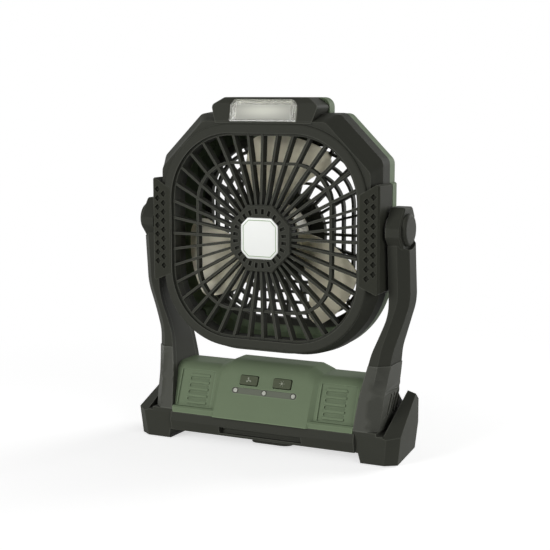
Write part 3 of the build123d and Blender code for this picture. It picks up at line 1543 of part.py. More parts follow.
def blade_strip(angle):
    """Radial section through the blade's surface, angle counted from the middle of its tip"""
    turn = radians(90 + blade_phase + angle)
    outward = Vector(cos(turn), 0, sin(turn))
    plane = Plane(origin=(0, 0, head_z), x_dir=outward, z_dir=Vector(-sin(turn), 0, cos(turn)))
    near, far = hub_radius - 2, blade_radius + 4
    near_y = blade_middle_y - blade_pitch * (angle - blade_sweep_at(near))
    far_y = blade_middle_y - blade_pitch * (angle - blade_sweep_at(far))
    half = blade_thickness / 2
    with BuildSketch(plane) as strip:
        with BuildLine():
            Polyline((near, near_y - half), (far, far_y - half), (far, far_y + half), (near, near_y + half),
                     close=True)
        make_face()
    return strip.sketch


def blade_point(radius, offset):
    turn = radians(90 + blade_phase + blade_sweep_at(radius) + offset)
    return (radius * cos(turn), radius * sin(turn))


with BuildPart() as blade:
    loft([blade_strip(-34 + 16 * step) for step in range(8)])
    with BuildSketch(head_plane(-60)) as blade_view:
        with BuildLine():
            stations = [hub_radius + 0.5, 33, 46, 59, blade_radius + 3]
            Spline(*[blade_point(radius, -blade_half_span) for radius in stations])
            Line(blade_point(stations[-1], -blade_half_span), blade_point(stations[-1] + 6, 0))
            Line(blade_point(stations[-1] + 6, 0), blade_point(stations[-1], blade_half_span))
            Spline(*[blade_point(radius, blade_half_span) for radius in reversed(stations)])
            Line(blade_point(stations[0], blade_half_span), blade_point(stations[0], -blade_half_span))
        make_face()
        Circle(blade_radius, mode=Mode.INTERSECT)
        tip_corners = blade_view.vertices().filter_by(lambda v: (v.X**2 + v.Y**2) ** 0.5 > blade_radius - 2)
        fillet(tip_corners, radius=9)
    extrude(blade_view.sketch, amount=-120, mode=Mode.INTERSECT)

with BuildPart() as fan_blades:
    extrude(disc(cup_front_y + hub_length, ring_radius), amount=hub_length - 3.4)
    add(around(blade.part, blade_count))
    extrude(disc(cup_front_y + hub_length + 10, hub_radius + seat_gap / 2), amount=60, mode=Mode.SUBTRACT)
fan_blades.part.label = "fan_blades"
export_step(fan_blades.part, "parts/fan_blades.step")

# ---------- Lamp ----------
with BuildPart() as lamp_housing:
    extrude(lamp_side(), amount=lamp_shoulder_half + 2, both=True)
    extrude(lamp_front(face_y - 10), amount=-60, mode=Mode.INTERSECT)
    add(bezel_form.part, mode=Mode.SUBTRACT)
    # chamber behind the lens
    extrude(lens_outline(-3, -seat_gap), amount=-(3 + lens_thickness + 0.2), mode=Mode.SUBTRACT)
    extrude(lens_outline(-3, 1.2), amount=-15.5, mode=Mode.SUBTRACT)
lamp_housing.part.label = "lamp_housing"
export_step(lamp_housing.part, "parts/lamp_housing.step")

with BuildPart() as lamp_lens:
    extrude(lens_outline(lens_thickness + 0.1), amount=lens_thickness)
    chamfer(lamp_lens.faces().sort_by(Axis.Y)[0].edges(), length=0.5)
    add(bezel_form.part, mode=Mode.SUBTRACT)
lamp_lens.part.label = "lamp_lens"
export_step(lamp_lens.part, "parts/lamp_lens.step")


def reflector_section(inward, inset, low):
    with BuildSketch(lamp_plane(inward)) as section:
        height = lens_top - 1.5 - inset - low
        with Locations((0, low + height / 2 - lamp_bottom)):
            Rectangle(2 * (lens_top_half - 1.6 - inset), height)
    return section.sketch


with BuildPart() as lamp_reflector:
    loft([reflector_section(lens_thickness + 0.3, 0, lens_bottom + 1.5),
          reflector_section(reflector_back, 1.4, lens_bottom + 8.6)], ruled=True)
    loft([reflector_section(lens_thickness + 0.3, 0.8, lens_bottom + 2.3),
          reflector_section(reflector_back, 2.2, lens_bottom + 9.2)], ruled=True, mode=Mode.SUBTRACT)
    add(bezel_form.part, mode=Mode.SUBTRACT)
lamp_reflector.part.label = "lamp_reflector"
export_step(lamp_reflector.part, "parts/lamp_reflector.step")

led_row = (lens_bottom + 8.6 + lens_top - 2.9) / 2

with BuildPart() as lamp_board:
    with BuildSketch(lamp_plane(reflector_back + seat_gap)):
        with Locations((0, led_row - lamp_bottom)):
            Rectangle(2 * (lens_half - 5), 5.0)
    extrude(amount=-1.2)
    add(bezel_form.part, mode=Mode.SUBTRACT)
lamp_board.part.label = "lamp_board"
export_step(lamp_board.part, "parts/lamp_board.step")

with BuildPart() as lamp_leds:
    with BuildSketch(lamp_plane(reflector_back + seat_gap)):
        with Locations((0, led_row - lamp_bottom)):
            with GridLocations(led_pitch, 1, led_count, 1):
                Rectangle(led_size, 1.8)
    extrude(amount=0.9)
lamp_leds.part.label = "lamp_leds"
export_step(lamp_leds.part, "parts/lamp_leds.step")
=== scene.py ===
import json
import math

import bmesh
import bpy
from bpy.props import FloatProperty, FloatVectorProperty, PointerProperty
from mathutils import Matrix, Vector


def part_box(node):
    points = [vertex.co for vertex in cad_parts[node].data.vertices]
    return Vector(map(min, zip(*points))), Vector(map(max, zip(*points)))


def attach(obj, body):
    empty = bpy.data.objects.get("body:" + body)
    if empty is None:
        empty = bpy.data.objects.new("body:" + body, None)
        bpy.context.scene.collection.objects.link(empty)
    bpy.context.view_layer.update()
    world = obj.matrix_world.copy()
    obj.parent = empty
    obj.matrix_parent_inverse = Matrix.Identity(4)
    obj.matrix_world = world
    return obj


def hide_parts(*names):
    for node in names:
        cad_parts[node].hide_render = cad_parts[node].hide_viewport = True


bl_info = {
    "name": "Camping fan",
    "version": (1, 0, 0),
    "blender": (4, 5, 0),
    "location": "View3D > Sidebar > Camping fan",
    "description": "Dresses the camping fan: finishes, screws, badge, lamp and button details",
    "category": "Object",
}

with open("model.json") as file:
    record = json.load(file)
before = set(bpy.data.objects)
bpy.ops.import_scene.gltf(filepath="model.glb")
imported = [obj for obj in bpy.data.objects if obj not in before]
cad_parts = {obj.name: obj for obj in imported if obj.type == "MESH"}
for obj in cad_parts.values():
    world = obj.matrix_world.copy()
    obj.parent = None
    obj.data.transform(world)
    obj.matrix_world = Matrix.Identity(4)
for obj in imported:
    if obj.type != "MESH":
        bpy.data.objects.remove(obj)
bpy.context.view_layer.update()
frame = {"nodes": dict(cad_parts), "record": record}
MM = 0.001
TINY = 0.001 * MM  # lengths that differ by less are the same


def joint(name):
    """A joint of the fan, from the frame's record"""
    return next(one for one in frame["record"]["behaviour"]["joints"] if one["name"] == name)


# Places shared by several pieces, in metres, and leans from upright
HEAD_Z = joint("fan_spin")["pos_m"][2]  # height of the fan's axis
PRESS = joint("fan_press")  # starts on the control panel and goes straight into it
BUTTON_X = abs(PRESS["pos_m"][0])
PANEL_SPOT = Vector((0.0, *PRESS["pos_m"][1:]))  # middle of the control panel, level with the buttons
PANEL_LEAN = math.asin(-PRESS["axis"][2])
INDICATORS_Z = 42.7 * MM
INDICATORS_APART = 24.0 * MM
SIDE_FOOT = Vector((0.0, -31.2 * MM, 22.3 * MM))  # bottom edge of the housing's side panels
SIDE_LEAN = math.radians(21.44)
LAMP_FOOT = Vector((0.0, -28.1 * MM, 242.3 * MM))  # bottom edge of the lamp's front face
LAMP_LEAN = math.radians(11.77)

# Sizes of the finishes' patterns
FLOW_SIZE = 35.0 * MM  # slow drift of tone in a moulding
EDGE_WIDTH = 1.5 * MM  # how far from an edge its painted highlight reaches
RECESS_REACH = 3.0 * MM  # how far from a corner or groove's wall the painted shade in it reaches
BLOTCH_SIZE = 6.0 * MM  # stains on bare metal
BLADE_FLOW = 30.0 * MM  # streaks of the melt in the blades
FROST_SIZE = 1.2 * MM  # etching of the lamp's window
HAZE_SIZE = 12.0 * MM  # finger marks on clear plastic
TRACK_SIZE = 8.0 * MM  # fields of copper under the solder mask
WAVE_PERIOD = 0.314  # length of one wave of the wave texture at scale 1

# Stage, in metres and watts
STUDIO_LIGHTS = (  # name, place, side, power
    ("Key light", (-0.6, -1.2, 0.36), 0.7, 12.0),
    ("Fill light", (1.1, -0.75, 0.3), 0.9, 7.0),
    ("Rear light", (0.7, 1.15, 0.5), 0.9, 13.0),
)
STUDIO_AIM = Vector((0.0, 0.0, 0.13))
CAMERA_PLACE = (0.42529, -0.86662, 0.26473)
CAMERA_DROP = math.radians(8.04)  # how far the camera looks down
CAMERA_TURN = math.radians(26.32)  # how far it stands round towards +X
CAMERA_LENS = 84.76  # millimetres, on a sensor 36 mm wide
FLOOR_RADIUS = 6.0
FLOOR_DROP = 0.2 * MM  # keeps the floor clear of the soles
FADE_START, FADE_END = 0.16, 0.5  # distances over which the floor turns to plain white
FLOOR_GREY = (0.86, 0.86, 0.86, 1.0)
FLOOR_LIFT = 0.62  # glow that brings the floor near the fan up to white, where no shadow lies
ROOM_LIGHT = 0.1  # how strongly the white surroundings light the fan
WHITE = (1.0, 1.0, 1.0, 1.0)


def linear(hex_code):
    """Turns an sRGB hex value into linear red, green and blue"""
    parts = [int(hex_code[i:i + 2], 16) / 255 for i in (1, 3, 5)]
    return tuple(c / 12.92 if c <= 0.04045 else ((c + 0.055) / 1.055) ** 2.4 for c in parts)


def colour(name, hex_code, note):
    return FloatVectorProperty(name=name, description=note, subtype="COLOR", size=3,
                               min=0.0, max=1.0, default=linear(hex_code))


def length(name, size, note):
    return FloatProperty(name=name, description=note, subtype="DISTANCE", unit="LENGTH",
                         min=0.0, default=size)


class FanColours(bpy.types.PropertyGroup):
    """Colours of the fan's finishes"""
    charcoal: colour("Charcoal", "#3a3b35", "Frame, arms and base of the fan")
    grip: colour("Grip", "#35362f", "Dimpled side grips")
    # painted light: the paler tone laid over the arms' lower front
    sleeve: colour("Arm light", "#4b4c46", "Painted light on the lower arms")
    sage: colour("Sage", "#6e7c63", "Housing and rear shell")
    button: colour("Button", "#525846", "Push buttons")
    symbol: colour("Symbol", "#878c7b", "Symbols on the buttons")
    strip: colour("Strip", "#62675a", "Indicator strip under the buttons")
    ring: colour("Ring", "#3b3d33", "Rings round the indicator lights")
    rubber: colour("Rubber", "#1f1f1e", "Soles")
    blade: colour("Blade", "#ece7d0", "Fan blades")
    hub: colour("Hub", "#2a2a28", "Rotor hub and inner mouldings")
    badge: colour("Badge", "#e8eae6", "Plate in the middle of the grille")
    badge_line: colour("Badge line", "#8fa67f", "Line round the badge plate")
    lens: colour("Lens", "#d8d9cb", "Frosted window of the lamp")
    dot: colour("Dot", "#a2a498", "Indicator lights")
    reflector: colour("Reflector", "#ecebe2", "White tray behind the lamp's cover")
    zinc: colour("Zinc", "#a4a6a8", "Plated screws")
    steel: colour("Steel", "#b4b6b8", "Turned pins and bearings")
    core: colour("Core steel", "#74777a", "Motor laminations")
    copper: colour("Copper", "#b4683a", "Enamelled motor windings")
    board: colour("Solder mask", "#1f5a3a", "Circuit boards")
    cell: colour("Cell wrap", "#3f6fa8", "Battery cells")
    acetal: colour("Acetal", "#d9d8d2", "Bushes and washers")
    nylon: colour("Nylon", "#232323", "Switches under the buttons")
    ferrite: colour("Ferrite", "#2f3033", "Ring magnet of the motor")
    phosphor: colour("Phosphor", "#efd98a", "Faces of the light-emitting diodes")


class FanSizes(bpy.types.PropertyGroup):
    """Sizes of the dressed details"""
    badge_corner: length("Badge corner", 5.4 * MM, "Cut of the badge plate's corners")
    badge_edge: length("Badge edge", 0.35 * MM, "Rounding of the badge plate's front edge")
    badge_line: length("Badge line", 0.5 * MM, "Width of the line round the badge plate")
    screw_head: length("Screw head radius", 2.8 * MM, "Radius of the screws' heads")
    screw_head_height: length("Screw head height", 1.8 * MM, "Height of the screws' heads")
    recess_width: length("Recess width", 0.8 * MM, "Width of a slot in a screw's cross")
    shank_radius: length("Shank radius", 1.45 * MM, "Radius of the screws' shanks")
    mark_height: length("Mark height", 0.22 * MM, "How far the buttons' symbols stand proud")
    grain: length("Grain", 0.9 * MM, "Size of the moulded texture's pebbles")
    cover_rim: length("Cover rim", 1.1 * MM, "Width of the rim round the lamp's window")
    cover_proud: length("Cover proud", 0.7 * MM, "How far the lamp's cover stands proud")
    light_radius: length("Light radius", 1.65 * MM, "Radius of the opening for an indicator light")
    ring_width: length("Ring width", 0.65 * MM, "Width of the rings round the indicator lights")
    bar_length: length("Bar length", 17.0 * MM, "Length of the louvre bars")
    bar_width: length("Bar width", 2.0 * MM, "Height of the louvre bars up their panel")
    bar_proud: length("Bar proud", 0.8 * MM, "How far the louvre bars stand out of their panel")
    # extent and thickness of the painted light on the arms
    arm_light_top: length("Arm light top", 70.0 * MM, "Height at which the arms' painted light ends")
    arm_light_skin: length("Arm light skin", 0.6 * MM, "Thickness of the arms' painted light skin")


# ---------------------------------------------------------------- materials

def add(tree, kind, settings=None):
    """Adds a node; a setting is a property, an input's value or the output that feeds it"""
    made = tree.nodes.new(kind)
    for key, value in (settings or {}).items():
        if isinstance(key, str) and hasattr(made, key):
            setattr(made, key, value)
        elif isinstance(value, bpy.types.NodeSocket):
            tree.links.new(value, made.inputs[key])
        else:
            made.inputs[key].default_value = value
    return made


def empty_material(name):
    """A new material, its empty node tree, and the place of a point in the fan"""
    material = bpy.data.materials.new(name)
    material.use_nodes = True
    tree = material.node_tree
    tree.nodes.clear()
    return material, tree, add(tree, "ShaderNodeTexCoord").outputs["Object"]


def finished(material, shader):
    """The material, with the shader as its surface"""
    add(material.node_tree, "ShaderNodeOutputMaterial", {"Surface": shader})
    return material


def shade(tree, base, low, high, factor):
    """Base colour made a little darker or lighter by a factor between 0 and 1"""
    level = add(tree, "ShaderNodeMapRange", {"Value": factor, "To Min": low, "To Max": high})
    return add(tree, "ShaderNodeHueSaturation", {
        "Color": (*base, 1.0), "Value": level.outputs["Result"]}).outputs["Color"]


def painted_edge_highlights(tree, base, tone, amount):
    """Painted highlight: paler along the edges, as though rounded edges caught the light"""
    soft = add(tree, "ShaderNodeBevel", {"samples": 8, "Radius": EDGE_WIDTH})
    sharp = add(tree, "ShaderNodeNewGeometry")
    match = add(tree, "ShaderNodeVectorMath", {
        "operation": "DOT_PRODUCT", 0: soft.outputs["Normal"], 1: sharp.outputs["Normal"]})
    edge = add(tree, "ShaderNodeMapRange", {
        "Value": match.outputs["Value"], "From Min": 0.985, "From Max": 0.86,
        "To Min": 0.0, "To Max": amount})
    pale = tuple(min(1.0, c * 1.9 + 0.012) for c in base)
    return add(tree, "ShaderNodeMix", {
        "data_type": "RGBA", 0: edge.outputs["Result"], 6: tone, 7: (*pale, 1.0)}).outputs[2]


def painted_recess_shade(tree, tone, amount):
    """Painted shade: darker in grooves and corners, where less light reaches"""
    hollow = add(tree, "ShaderNodeAmbientOcclusion", {"samples": 8, "Distance": RECESS_REACH})
    unshaded = add(tree, "ShaderNodeMapRange", {
        "Value": hollow.outputs["AO"], "From Min": 0.3, "From Max": 0.9,
        "To Min": 1.0 - amount, "To Max": 1.0})
    return add(tree, "ShaderNodeHueSaturation", {
        "Color": tone, "Value": unshaded.outputs["Result"]}).outputs["Color"]


def moulded_plastic(name, base, rough, grain, depth, sheen_spread=0.08, tone_spread=0.05,
                    edge_highlight=0.0, recess=0.0, coat=0.0, specular=0.5):
    """Injection-moulded plastic with a fine pebbled skin from its etched mould"""
    material, tree, place = empty_material(name)
    # slow drift of tone, as where the melt flowed and cooled
    flow = add(tree, "ShaderNodeTexNoise", {
        "Vector": place, "Scale": 1 / FLOW_SIZE, "Detail": 3.0, "Roughness": 0.55})
    # fine speckle, one pebble or so across
    speckle = add(tree, "ShaderNodeTexNoise", {
        "Vector": place, "Scale": 1 / grain, "Detail": 2.0, "Roughness": 0.6})
    pebbles = add(tree, "ShaderNodeTexVoronoi", {
        "Vector": place, "Scale": 1 / grain, "feature": "SMOOTH_F1", "Smoothness": 0.6})
    mixed = add(tree, "ShaderNodeMix", {
        "data_type": "FLOAT", 0: 0.35, 2: flow.outputs["Fac"], 3: speckle.outputs["Fac"]})
    tone = shade(tree, base, 1 - tone_spread * 2, 1 + tone_spread * 2, mixed.outputs[0])
    # painted highlight along the edges
    if edge_highlight:
        tone = painted_edge_highlights(tree, base, tone, edge_highlight)
    # painted shade in grooves and corners
    if recess:
        tone = painted_recess_shade(tree, tone, recess)
    gloss = add(tree, "ShaderNodeMapRange", {
        "Value": flow.outputs["Fac"], "To Min": rough - sheen_spread, "To Max": rough + sheen_spread})
    skin = add(tree, "ShaderNodeBump", {
        "Height": pebbles.outputs["Distance"], "Strength": 0.5, "Distance": depth})
    shader = add(tree, "ShaderNodeBsdfPrincipled", {
        "Base Color": tone, "Roughness": gloss.outputs["Result"], "Normal": skin.outputs["Normal"],
        "IOR": 1.5, "Specular IOR Level": specular, "Coat Weight": coat, "Coat Roughness": 0.15})
    return finished(material, shader.outputs["BSDF"])


def machined_metal(name, base, rough, scratch, depth, turned_about=None):
    """Metal with fine tool marks: rings about an axis where turned, else short scratches"""
    material, tree, place = empty_material(name)
    if turned_about is None:
        lines = add(tree, "ShaderNodeTexNoise", {
            "Vector": place, "Scale": 1 / scratch, "Detail": 4.0, "Roughness": 0.65}).outputs["Fac"]
    else:
        lines = add(tree, "ShaderNodeTexWave", {
            "Vector": place, "wave_type": "BANDS", "bands_direction": turned_about,
            "Scale": WAVE_PERIOD / scratch, "Distortion": 1.2, "Detail": 2.0}).outputs["Fac"]
    blotch = add(tree, "ShaderNodeTexNoise", {
        "Vector": place, "Scale": 1 / BLOTCH_SIZE, "Detail": 3.0})
    tone = shade(tree, base, 0.86, 1.1, blotch.outputs["Fac"])
    gloss = add(tree, "ShaderNodeMapRange", {
        "Value": lines, "To Min": rough - 0.07, "To Max": rough + 0.1})
    marks = add(tree, "ShaderNodeBump", {"Height": lines, "Strength": 0.35, "Distance": depth})
    shader = add(tree, "ShaderNodeBsdfPrincipled", {
        "Base Color": tone, "Metallic": 1.0, "Roughness": gloss.outputs["Result"],
        "Normal": marks.outputs["Normal"]})
    return finished(material, shader.outputs["BSDF"])


def charcoal_abs(colours, sizes):
    # moulded ABS in charcoal: dull, even, with a soft broad highlight, painted highlights along its
    # edges and painted shade in its recesses
    return moulded_plastic("Moulded charcoal ABS", colours.charcoal, 0.55, sizes.grain, 0.05 * MM,
                           edge_highlight=0.8, recess=0.5, specular=0.04)


def grip_abs(colours, sizes):
    # the same ABS, etched deeper so that fingers hold it: duller than the frame, with painted edge
    # highlights and painted shade in its dimples
    return moulded_plastic("Etched grip ABS", colours.grip, 0.62, sizes.grain * 0.8, 0.08 * MM,
                           edge_highlight=0.7, recess=0.7, specular=0.04)


def arm_light_abs(colours, sizes):
    # painted light: the frame's ABS made paler and dull, standing for the light on the arms' lower
    # front, with painted edge highlights and painted recess shade
    return moulded_plastic("Painted arm light ABS", colours.sleeve, 0.5, sizes.grain, 0.05 * MM,
                           edge_highlight=0.6, recess=0.4, specular=0.06)


def sage_abs(colours, sizes):
    # moulded ABS in sage green: satin, with painted highlights along its edges and painted shade in
    # its grooves
    return moulded_plastic("Moulded sage ABS", colours.sage, 0.5, sizes.grain, 0.04 * MM,
                           edge_highlight=0.35, recess=0.5, specular=0.04)


def button_abs(colours, sizes):
    # the sage ABS in a darker batch: satin, with painted highlights at the rims and painted shade
    # round them
    return moulded_plastic("Dark sage ABS", colours.button, 0.48, sizes.grain * 0.7, 0.03 * MM,
                           edge_highlight=0.4, recess=0.4, specular=0.05)


def symbol_print(colours, sizes):
    # pad print on the buttons: pale and dull
    return moulded_plastic("Pale pad print", colours.symbol, 0.6, sizes.grain * 0.6, 0.01 * MM)


def ring_abs(colours, sizes):
    # dark ABS rings: small, satin, a little glossier than the strip they stand on
    return moulded_plastic("Satin dark ABS", colours.ring, 0.4, sizes.grain * 0.6, 0.01 * MM,
                           specular=0.3)


def strip_abs(colours, sizes):
    # paler ABS strip: smoother than the housing, so it catches more light; painted shade in its
    # recesses
    return moulded_plastic("Satin strip ABS", colours.strip, 0.42, sizes.grain * 0.6, 0.02 * MM,
                           recess=0.3, specular=0.12)


def sole_rubber(colours, sizes):
    # moulded TPE rubber: almost no highlight, speckled with dust
    return moulded_plastic("Moulded TPE rubber", colours.rubber, 0.85, sizes.grain * 0.7, 0.09 * MM,
                           tone_spread=0.12)


def hub_abs(colours, sizes):
    # smooth black ABS: a clearer highlight than the etched mouldings
    return moulded_plastic("Smooth black ABS", colours.hub, 0.38, sizes.grain, 0.015 * MM)


def acetal(colours, sizes):
    # natural acetal: waxy, off-white, slightly glossy
    return moulded_plastic("Natural acetal", colours.acetal, 0.35, sizes.grain, 0.01 * MM)


def switch_nylon(colours, sizes):
    # black nylon of the switches: satin
    return moulded_plastic("Black nylon", colours.nylon, 0.45, sizes.grain, 0.02 * MM)


def badge_acrylic(colours, sizes):
    # glossy white acrylic plate: a clear coat over an even white
    return moulded_plastic("White acrylic", colours.badge, 0.3, sizes.grain * 2, 0.004 * MM,
                           tone_spread=0.01, coat=0.3)


def badge_paint(colours, sizes):
    # sage paint in the plate's groove
    return moulded_plastic("Sage pad print", colours.badge_line, 0.5, sizes.grain, 0.01 * MM)


def reflector_abs(colours, sizes):
    # glossy white ABS tray: bounces the lamp's light
    return moulded_plastic("Glossy white ABS", colours.reflector, 0.22, sizes.grain, 0.01 * MM,
                           tone_spread=0.02)


def blade_polypropylene(colours, sizes):
    # thin polypropylene: warm white, waxy, lets some of the light behind it through
    material, tree, place = empty_material("Translucent polypropylene")
    flow = add(tree, "ShaderNodeTexNoise", {
        "Vector": place, "Scale": 1 / BLADE_FLOW, "Detail": 3.0, "Distortion": 0.6})
    tone = shade(tree, colours.blade, 0.9, 1.07, flow.outputs["Fac"])
    gloss = add(tree, "ShaderNodeMapRange", {
        "Value": flow.outputs["Fac"], "To Min": 0.3, "To Max": 0.42})
    ripple = add(tree, "ShaderNodeBump", {
        "Height": flow.outputs["Fac"], "Strength": 0.25, "Distance": 0.3 * MM})
    shader = add(tree, "ShaderNodeBsdfPrincipled", {
        "Base Color": tone, "Roughness": gloss.outputs["Result"], "Normal": ripple.outputs["Normal"],
        "IOR": 1.49, "Specular IOR Level": 0.3, "Transmission Weight": 0.5})
    return finished(material, shader.outputs["BSDF"])


def indicator_polycarbonate(colours, sizes):
    # smoky polycarbonate dots: pale grey and glossy
    return moulded_plastic("Smoky polycarbonate", colours.dot, 0.25, sizes.grain, 0.01 * MM)


def window_polycarbonate(colours, sizes):
    # frosted polycarbonate with painted light: bright in the middle as though lit from behind by the
    # tray, painted shade greying it to its edges
    material, tree, place = empty_material("Frosted polycarbonate")
    low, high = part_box("lamp_lens")
    middle, half = (low + high) / 2, (high - low) / 2
    near = add(tree, "ShaderNodeVectorMath", {"operation": "SUBTRACT", 0: place, 1: tuple(middle)})
    share = add(tree, "ShaderNodeVectorMath", {
        "operation": "MULTIPLY", 0: near.outputs["Vector"], 1: (0.85 / half.x, 0.0, 1 / half.z)})
    away = add(tree, "ShaderNodeVectorMath", {"operation": "LENGTH", 0: share.outputs["Vector"]})
    # painted light: full colour in the middle, half as bright at the edges
    edge = add(tree, "ShaderNodeMapRange", {
        "Value": away.outputs["Value"], "From Min": 0.05, "From Max": 0.95,
        "interpolation_type": "SMOOTHSTEP"})
    tone = add(tree, "ShaderNodeMix", {
        "data_type": "RGBA", 0: edge.outputs["Result"], 6: (*colours.lens, 1.0),
        7: (*[c * 0.5 for c in colours.lens], 1.0)}).outputs[2]
    frost = add(tree, "ShaderNodeTexNoise", {"Vector": place, "Scale": 1 / FROST_SIZE, "Detail": 2.0})
    etched = add(tree, "ShaderNodeBump", {
        "Height": frost.outputs["Fac"], "Strength": 0.3, "Distance": 0.05 * MM})
    shader = add(tree, "ShaderNodeBsdfPrincipled", {
        "Base Color": tone, "Roughness": 0.3, "Normal": etched.outputs["Normal"], "IOR": 1.58,
        "Specular IOR Level": 0.3, "Transmission Weight": 0.15})
    return finished(material, shader.outputs["BSDF"])


def rim_polycarbonate(colours, sizes):
    # clear polycarbonate with polished edges: dark where the housing shows through, bright glints
    material, tree, place = empty_material("Clear polycarbonate")
    haze = add(tree, "ShaderNodeTexNoise", {"Vector": place, "Scale": 1 / HAZE_SIZE, "Detail": 3.0})
    gloss = add(tree, "ShaderNodeMapRange", {
        "Value": haze.outputs["Fac"], "To Min": 0.06, "To Max": 0.22})
    tone = shade(tree, colours.lens, 0.8, 1.0, haze.outputs["Fac"])
    shader = add(tree, "ShaderNodeBsdfPrincipled", {
        "Base Color": tone, "Roughness": gloss.outputs["Result"], "IOR": 1.58,
        "Transmission Weight": 0.75})
    return finished(material, shader.outputs["BSDF"])


def zinc_steel(colours, sizes):
    # zinc-plated steel: pale grey metal with a dull bloom
    return machined_metal("Zinc plated steel", colours.zinc, 0.34, 0.5 * MM, 0.01 * MM)


def turned_steel(colours, sizes):
    # turned steel: brighter, with fine rings across its axis
    return machined_metal("Turned steel", colours.steel, 0.26, 0.35 * MM, 0.01 * MM, "X")


def laminated_steel(colours, sizes):
    # stacked silicon steel: dark grey, a line for each half-millimetre sheet
    return machined_metal("Laminated silicon steel", colours.core, 0.42, 0.5 * MM, 0.05 * MM, "Y")


def enamelled_copper(colours, sizes):
    # enamelled copper wire: orange metal in tight rows under a clear varnish
    return machined_metal("Enamelled copper", colours.copper, 0.24, 0.45 * MM, 0.12 * MM, "Y")


def ferrite(colours, sizes):
    # sintered ferrite: dark grey, dull and slightly grainy
    return moulded_plastic("Sintered ferrite", colours.ferrite, 0.6, sizes.grain * 0.6, 0.04 * MM)


def solder_mask(colours, sizes):
    # green solder mask over glass fibre: glossy, with faint tracks under it
    material, tree, place = empty_material("Solder mask")
    tracks = add(tree, "ShaderNodeTexBrick", {
        "Vector": place, "Scale": 1 / TRACK_SIZE, "Color1": (*colours.board, 1.0),
        "Color2": (*[c * 1.25 for c in colours.board], 1.0),
        "Mortar": (*[c * 1.7 for c in colours.board], 1.0), "Mortar Size": 0.03})
    raised = add(tree, "ShaderNodeBump", {
        "Height": tracks.outputs["Fac"], "Strength": 0.3, "Distance": 0.04 * MM, "invert": True})
    shader = add(tree, "ShaderNodeBsdfPrincipled", {
        "Base Color": tracks.outputs["Color"], "Roughness": 0.3, "IOR": 1.5,
        "Normal": raised.outputs["Normal"]})
    return finished(material, shader.outputs["BSDF"])


def led_phosphor(colours, sizes):
    # yellow phosphor in silicone: opaque, waxy
    return moulded_plastic("Yellow phosphor", colours.phosphor, 0.35, sizes.grain * 0.5, 0.02 * MM,
                           coat=0.3)


def shrink_wrap(colours, sizes):
    # PVC shrink sleeve: glossy blue, drawn into faint wrinkles
    return moulded_plastic("PVC shrink sleeve", colours.cell, 0.28, sizes.grain * 4, 0.06 * MM)


FINISHES = [
    (charcoal_abs, ["base_chassis", "arm_left", "arm_right", "arm_cover_left", "arm_cover_right",
                    "pivot_cap_left", "pivot_cap_right", "front_bezel", "front_grille",
                    "rear_grille", "lamp_housing", "hub_ring", "hang_hook"]),
    (grip_abs, ["grip_left", "grip_right"]),
    (sage_abs, ["base_cover", "rear_shell"]),
    (button_abs, ["fan_button", "lamp_button"]),
    (strip_abs, ["indicator_strip"]),
    (sole_rubber, ["rubber_feet"]),
    (blade_polypropylene, ["fan_blades"]),
    (hub_abs, ["hub_cap", "motor_base", "battery_holder"]),
    (badge_acrylic, ["hub_badge"]),
    (window_polycarbonate, ["lamp_lens"]),
    (indicator_polycarbonate, ["indicator_lenses"]),
    (reflector_abs, ["lamp_reflector"]),
    (zinc_steel, ["chassis_screws", "arm_screws", "board_screws", "head_screws", "motor_screws",
                  "pin_screws"]),
    (turned_steel, ["tilt_pin_left", "tilt_pin_right", "motor_shaft", "motor_bearings", "rotor_can",
                    "charge_port", "pin_retainers", "shaft_clip"]),
    (laminated_steel, ["stator_core"]),
    (enamelled_copper, ["stator_coils"]),
    (ferrite, ["rotor_magnet"]),
    (acetal, ["tilt_bush_left", "tilt_bush_right", "friction_washers"]),
    (solder_mask, ["control_board", "port_board", "lamp_board", "motor_board"]),
    (led_phosphor, ["lamp_leds", "indicator_leds"]),
    (switch_nylon, ["tact_switches"]),
    (shrink_wrap, ["battery_cells"]),
]


def made_material(recipe):
    """The material of a recipe, made once"""
    scene = bpy.context.scene
    key = "fan_" + recipe.__name__
    if key not in scene:
        scene[key] = recipe(scene.fan_colours, scene.fan_sizes).name
    return bpy.data.materials[scene[key]]


# ---------------------------------------------------------------- modelling helpers

def deselect():
    bpy.ops.object.select_all(action="DESELECT")


def pick(obj):
    """Makes obj the only selected object"""
    deselect()
    obj.select_set(True)
    bpy.context.view_layer.objects.active = obj


def named(name):
    obj = bpy.context.object
    obj.name = name
    obj.data.name = name
    return obj


def select_faces(obj, wanted):
    """In edit mode, selects the faces whose centre and normal pass the test"""
    bpy.ops.mesh.select_all(action="DESELECT")
    bpy.ops.mesh.select_mode(type="FACE")
    mesh = bmesh.from_edit_mesh(obj.data)
    for face in mesh.faces:
        face.select_set(wanted(face.calc_center_median(), face.normal))
    bmesh.update_edit_mesh(obj.data)


def select_edges(obj, wanted):
    """In edit mode, selects the edges whose two ends pass the test"""
    bpy.ops.mesh.select_all(action="DESELECT")
    bpy.ops.mesh.select_mode(type="EDGE")
    mesh = bmesh.from_edit_mesh(obj.data)
    for edge in mesh.edges:
        edge.select_set(wanted(edge.verts[0].co, edge.verts[1].co))
    bmesh.update_edit_mesh(obj.data)


def fix_place():
    """Puts the active object's place, turn and scale into its mesh"""
    bpy.ops.object.transform_apply(location=True, rotation=True, scale=True)


def settle(obj, place):
    """Moves a piece by a transform, and leaves its object at the origin"""
    pick(obj)
    obj.matrix_world = place @ obj.matrix_world
    fix_place()


def joined(name, objects):
    deselect()
    for obj in objects:
        obj.select_set(True)
    bpy.context.view_layer.objects.active = objects[0]
    if len(objects) > 1:
        bpy.ops.object.join()
    return named(name)


def own_copy(obj):
    """A copy with its own mesh"""
    pick(obj)
    bpy.ops.object.duplicate(linked=False)
    return bpy.context.object


